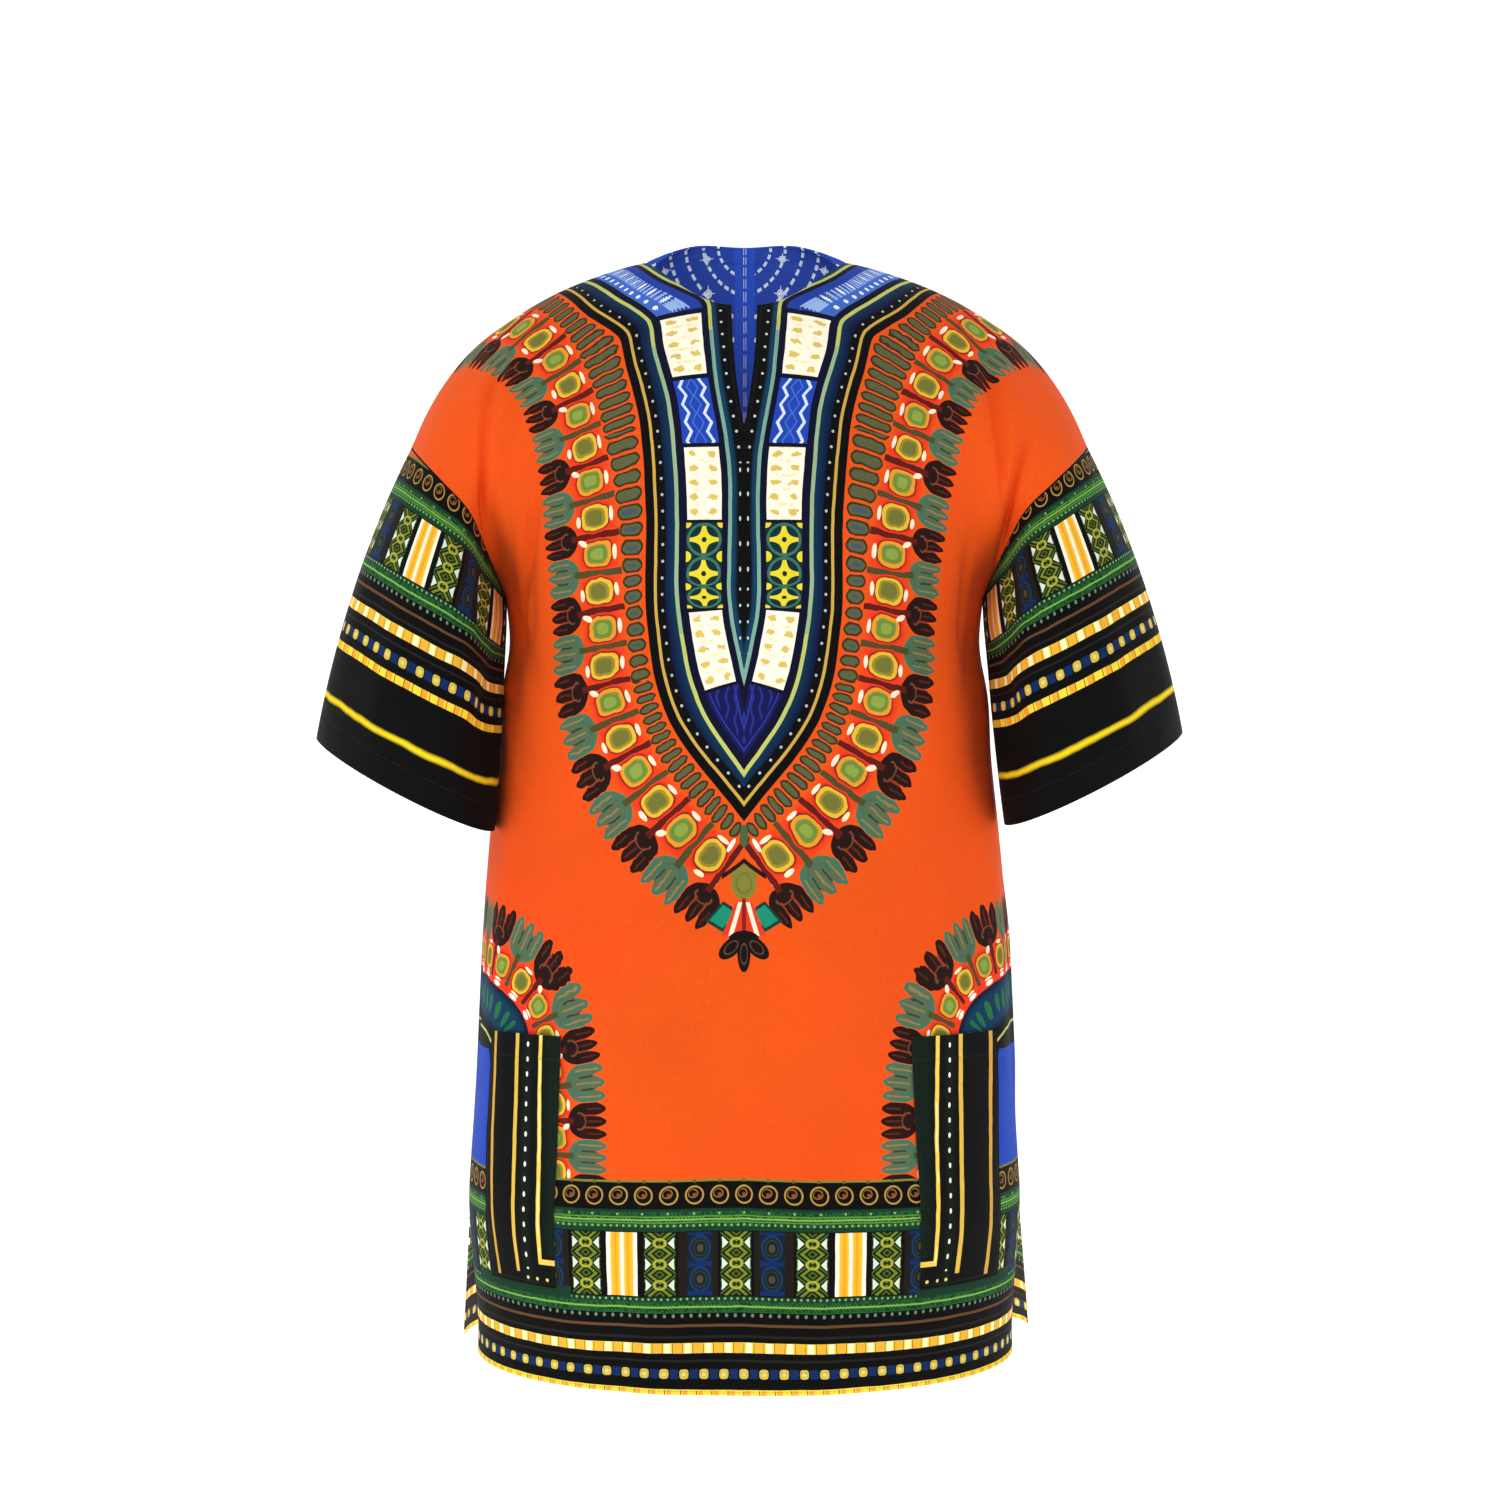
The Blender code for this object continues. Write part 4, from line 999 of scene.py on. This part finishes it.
def sleeve_print(dyes):
    """Orange above, the border, then plain black with one soft yellow line near the edge."""
    tree = dyes.tree
    to_cuff, along, _ = readings(tree, "sleeve")
    waver = uneven(tree, 60, 0.0024)
    dyes.lay(DEEP_ORANGE, uneven(tree, 7, 1.6) + 0.2)
    height = (to_cuff + waver * 0.4 - CUFF_BLACK) * (1 / 1.07)
    border_print(dyes, height, abs(along) - 0.0175)
    dyes.lay(BLACK, height.under(0.0))
    ribbon = height.between(-0.0004, 0.0046)
    dyes.lay(YELLOW, ribbon)
    dyes.lay((242, 166, 48), along.wrapped(RIBBON_PITCH).between(-0.0062, -0.0020) & ribbon)
    dyes.lay((120, 84, 28), along.every(0.0065).under(0.0003) & ribbon)
    dyes.lay((236, 206, 30), (to_cuff + waver).near(0.033, 0.0019, 0.0022))


def sleeve_sewing(tree):
    """Sewing of a sleeve: a sunk armhole seam, the turned edge and its row of stitches."""
    to_cuff, along, from_seam = readings(tree, "sleeve")
    thread = to_cuff.near(CUFF_ROW, 0.0003) & along.every(STITCH).under(0.0011)
    under_seam = (~abs(along).under(SLEEVE_ROUND / 2 - 0.0016, 0.0016)) * -0.8
    relief = (from_seam.under(0.0012, 0.0024) * -0.9
              + to_cuff.under(CUFF_ROW + 0.0005, 0.0010) * 0.35
              - to_cuff.near(CUFF_ROW, 0.0008, 0.0012) * 0.5 + thread * 0.35 + under_seam)
    return relief, thread, along, to_cuff


sleeve_cotton = cotton("sleeve_cotton", sleeve_print, sleeve_sewing)
for side, word in ((-1, "right"), (1, "left")):
    points, normals, faces, fields = sleeve_grid(side)
    sleeve, sleeve_area = cloth_shell("sleeve_cotton_" + word, points, normals, faces, fields,
                                      sleeve_cotton)
    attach(sleeve, "root")
    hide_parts("sleeve_" + word)

# Patch pockets
# Two flat pockets of striped border cloth, laid on the front at the sides and stitched down
# along three edges; the top edge is turned under and stands a little open.
POCKET_TOP_Z = -0.528
POCKET_FOOT_Z = -0.688
POCKET_EDGES = {-1: (0.129, 0.198), 1: (0.118, 0.200)}
POCKET_LINES = {            # from the inner edge: three lines, with dots between the first two
    -1: (0.0, 0.0138, 0.0262, 0.0364, 0.0594, 0.0690),
    1: (0.0, 0.0155, 0.0255, 0.0360, 0.0690, 0.0820)}
POCKET_LEAN = {-1: 0.005, 1: 0.010}
POCKET_ROWS, POCKET_COLUMNS = 96, 48
POCKET_CLEAR = 0.0013       # outer face above the front at the stitched edges
POCKET_PUFF = 0.0016        # and this much more in the middle and along the mouth


def pocket_grid(side):
    """Pocket on the front's own surface, moved out: least at three edges, most at the mouth."""
    share = np.linspace(0, 1, POCKET_COLUMNS + 1)
    if side < 0:
        share = share[::-1]
    fall = np.linspace(0, 1, POCKET_ROWS + 1)[:, None]
    inner, outer = POCKET_EDGES[side]
    across = inner + (outer - inner) * share + 0 * fall
    z = POCKET_TOP_Z + (POCKET_FOOT_Z - POCKET_TOP_Z) * fall + 0 * share
    base = even_section("front", side, across / PANEL_HALF, z)
    lift = fold_height("front", side * across, -z)
    front_points = base + facing(base) * lift[..., None]
    square = facing(front_points)
    puff = smooth(4 * share * (1 - share)) * smooth((1 - fall) * 4)
    points = front_points + square * (POCKET_CLEAR + POCKET_PUFF * puff)[..., None]
    striped = np.interp(across - inner + POCKET_LEAN[side] * (fall - 0.5), POCKET_LINES[side],
                        POCKET_LINES[-1])
    height = (1 - fall) * (POCKET_TOP_Z - POCKET_FOOT_Z) + 0 * share
    to_edge = np.minimum(share, 1 - share) * (outer - inner) + 0 * fall
    fields = {"pocket": np.stack([striped, height, to_edge], axis=-1)}
    return points, facing(points), grid_faces(*points.shape[:2]), fields


def pocket_print(dyes):
    """Black with three yellow lines and a row of dots; the first line turns in at the foot."""
    tree = dyes.tree
    x, height, _ = readings(tree, "pocket")
    waver = uneven(tree, 90, 0.0020)
    x = x + waver * 0.5
    dyes.lay((12, 12, 12), x.over(-1))
    dyes.lay((13, 28, 20), x.under(0.0095, 0.0060) & height.over(0.02, 0.004))
    dyes.lay((16, 24, 18), x.near(0.0262, 0.0040, 0.003))
    first = ((x.near(0.0138, 0.0016) & height.over(0.0140))
             | (height.near(0.0157, 0.0017) & x.under(0.0154)))
    dyes.lay((236, 204, 84), first)
    dyes.lay((250, 236, 170),
             x.near(0.0138, 0.0005) & height.over(0.016) & uneven(tree, 60, 2.0).over(0))
    dyes.lay((222, 184, 70), x.near(0.0364, 0.0016) & height.over(0.0075))
    dyes.lay((206, 160, 66), x.near(0.0594, 0.0016) & height.over(0.0030))
    dyes.lay(CREAM, spot(x - 0.0262, height.wrapped(0.0096), 0.0011, 0.0017) & height.over(0.010))
    dyes.lay((220, 210, 120), spot(x.wrapped(0.0090), height - 0.0045, 0.0013, 0.0011)
             & x.under(0.030))


def pocket_sewing(tree):
    """Sewing of a pocket: stitches along three edges, and the turned mouth."""
    x, height, to_edge = readings(tree, "pocket")
    edge = to_edge.by("MINIMUM", height)
    mouth = (height - (POCKET_TOP_Z - POCKET_FOOT_Z)) * -1.0
    thread = ((edge.near(EDGE_ROW, 0.0003) & height.every(STITCH).under(0.0011))
              | (mouth.near(MOUTH_ROW, 0.0003) & x.every(STITCH).under(0.0011)))
    relief = (mouth.under(MOUTH_ROW + 0.0005, 0.0010) * 0.35
              - edge.near(EDGE_ROW, 0.0007, 0.0012) * 0.6
              - mouth.near(MOUTH_ROW, 0.0008, 0.0012) * 0.4 + thread * 0.35)
    return relief, thread, x, height


pocket_cotton = cotton("pocket_cotton", pocket_print, pocket_sewing)
for side, word in ((-1, "right"), (1, "left")):
    points, normals, faces, fields = pocket_grid(side)
    pocket, pocket_area = cloth_shell("pocket_cotton_" + word, points, normals, faces, fields,
                                      pocket_cotton)
    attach(pocket, "root")
    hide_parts("pocket_" + word)

# Studio
# A plain pale floor that turns up into a wall, five soft lights and the camera.
FLOOR_Z, FLOOR_HALF = -1.45, 6.0
BEND_Y, BEND_RADIUS = 2.2, 1.2          # where the floor begins to turn up, and how roundly
FOCAL, FRAME, HORIZON = 2150, 1500, 70  # in pixels; the horizon lies below the frame's middle

turn = np.linspace(0, math.pi / 2, 17)
bend = np.stack([BEND_Y + BEND_RADIUS * np.sin(turn), BEND_RADIUS - BEND_RADIUS * np.cos(turn)],
                axis=-1)
profile = np.concatenate([[[-FLOOR_HALF, 0.0]], bend, [[BEND_Y + BEND_RADIUS, 6.0]]])
backdrop = bpy.data.meshes.new("backdrop")
sides = np.array([-FLOOR_HALF, FLOOR_HALF])
corners = np.stack([sides[:, None] + 0 * profile[:, 0], profile[:, 0] + 0 * sides[:, None],
                    profile[:, 1] + FLOOR_Z + 0 * sides[:, None]], axis=-1).transpose(1, 0, 2)
backdrop.from_pydata(corners.reshape(-1, 3), [], grid_faces(len(profile), 2)[:, ::-1].tolist())
backdrop.shade_smooth()
pale = bpy.data.materials.new("pale_floor")
pale.use_nodes = True
for entry, value in (("Base Color", dye((250, 250, 250))), ("Emission Color", (1, 1, 1, 1)),
                     ("Emission Strength", 0.32), ("Roughness", 0.9)):
    pale.node_tree.nodes["Principled BSDF"].inputs[entry].default_value = value
backdrop.materials.append(pale)
floor = bpy.data.objects.new("floor", backdrop)
bpy.context.scene.collection.objects.link(floor)

world = bpy.data.worlds.new("studio")
world.use_nodes = True
sky = world.node_tree.nodes["Background"]
sky.inputs["Color"].default_value = (1.0, 1.0, 1.0, 1.0)
sky.inputs["Strength"].default_value = 0.74
bpy.context.scene.world = world
for name, place, width, power in (("key_light", (-1.5, -2.0, 1.3), 1.2, 12),
                                  ("front_light", (0.0, -2.6, -0.3), 1.4, 3),
                                  ("low_left_light", (-1.8, -1.2, -0.9), 1.4, 9),
                                  ("low_right_light", (1.8, -1.2, -0.9), 1.4, 9),
                                  ("top_light", (0.0, 0.6, 2.4), 2.2, 10)):
    lamp = bpy.data.lights.new(name, "AREA")
    lamp.size, lamp.energy = width, power
    light = bpy.data.objects.new(name, lamp)
    light.location = place
    towards = np.array([0, 0, -0.38]) - place
    light.rotation_euler = (math.acos(-towards[2] / np.linalg.norm(towards)), 0,
                            math.atan2(towards[1], towards[0]) - math.pi / 2)
    bpy.context.scene.collection.objects.link(light)

view = bpy.data.cameras.new("camera")
view.sensor_width = 36.0
view.lens = view.sensor_width * FOCAL / FRAME
camera = bpy.data.objects.new("camera", view)
camera.location = (0.0038, -1.5, -0.389)
camera.rotation_euler = (math.pi / 2 + math.atan(HORIZON / FOCAL), 0, 0)
bpy.context.scene.collection.objects.link(camera)
bpy.context.scene.camera = camera
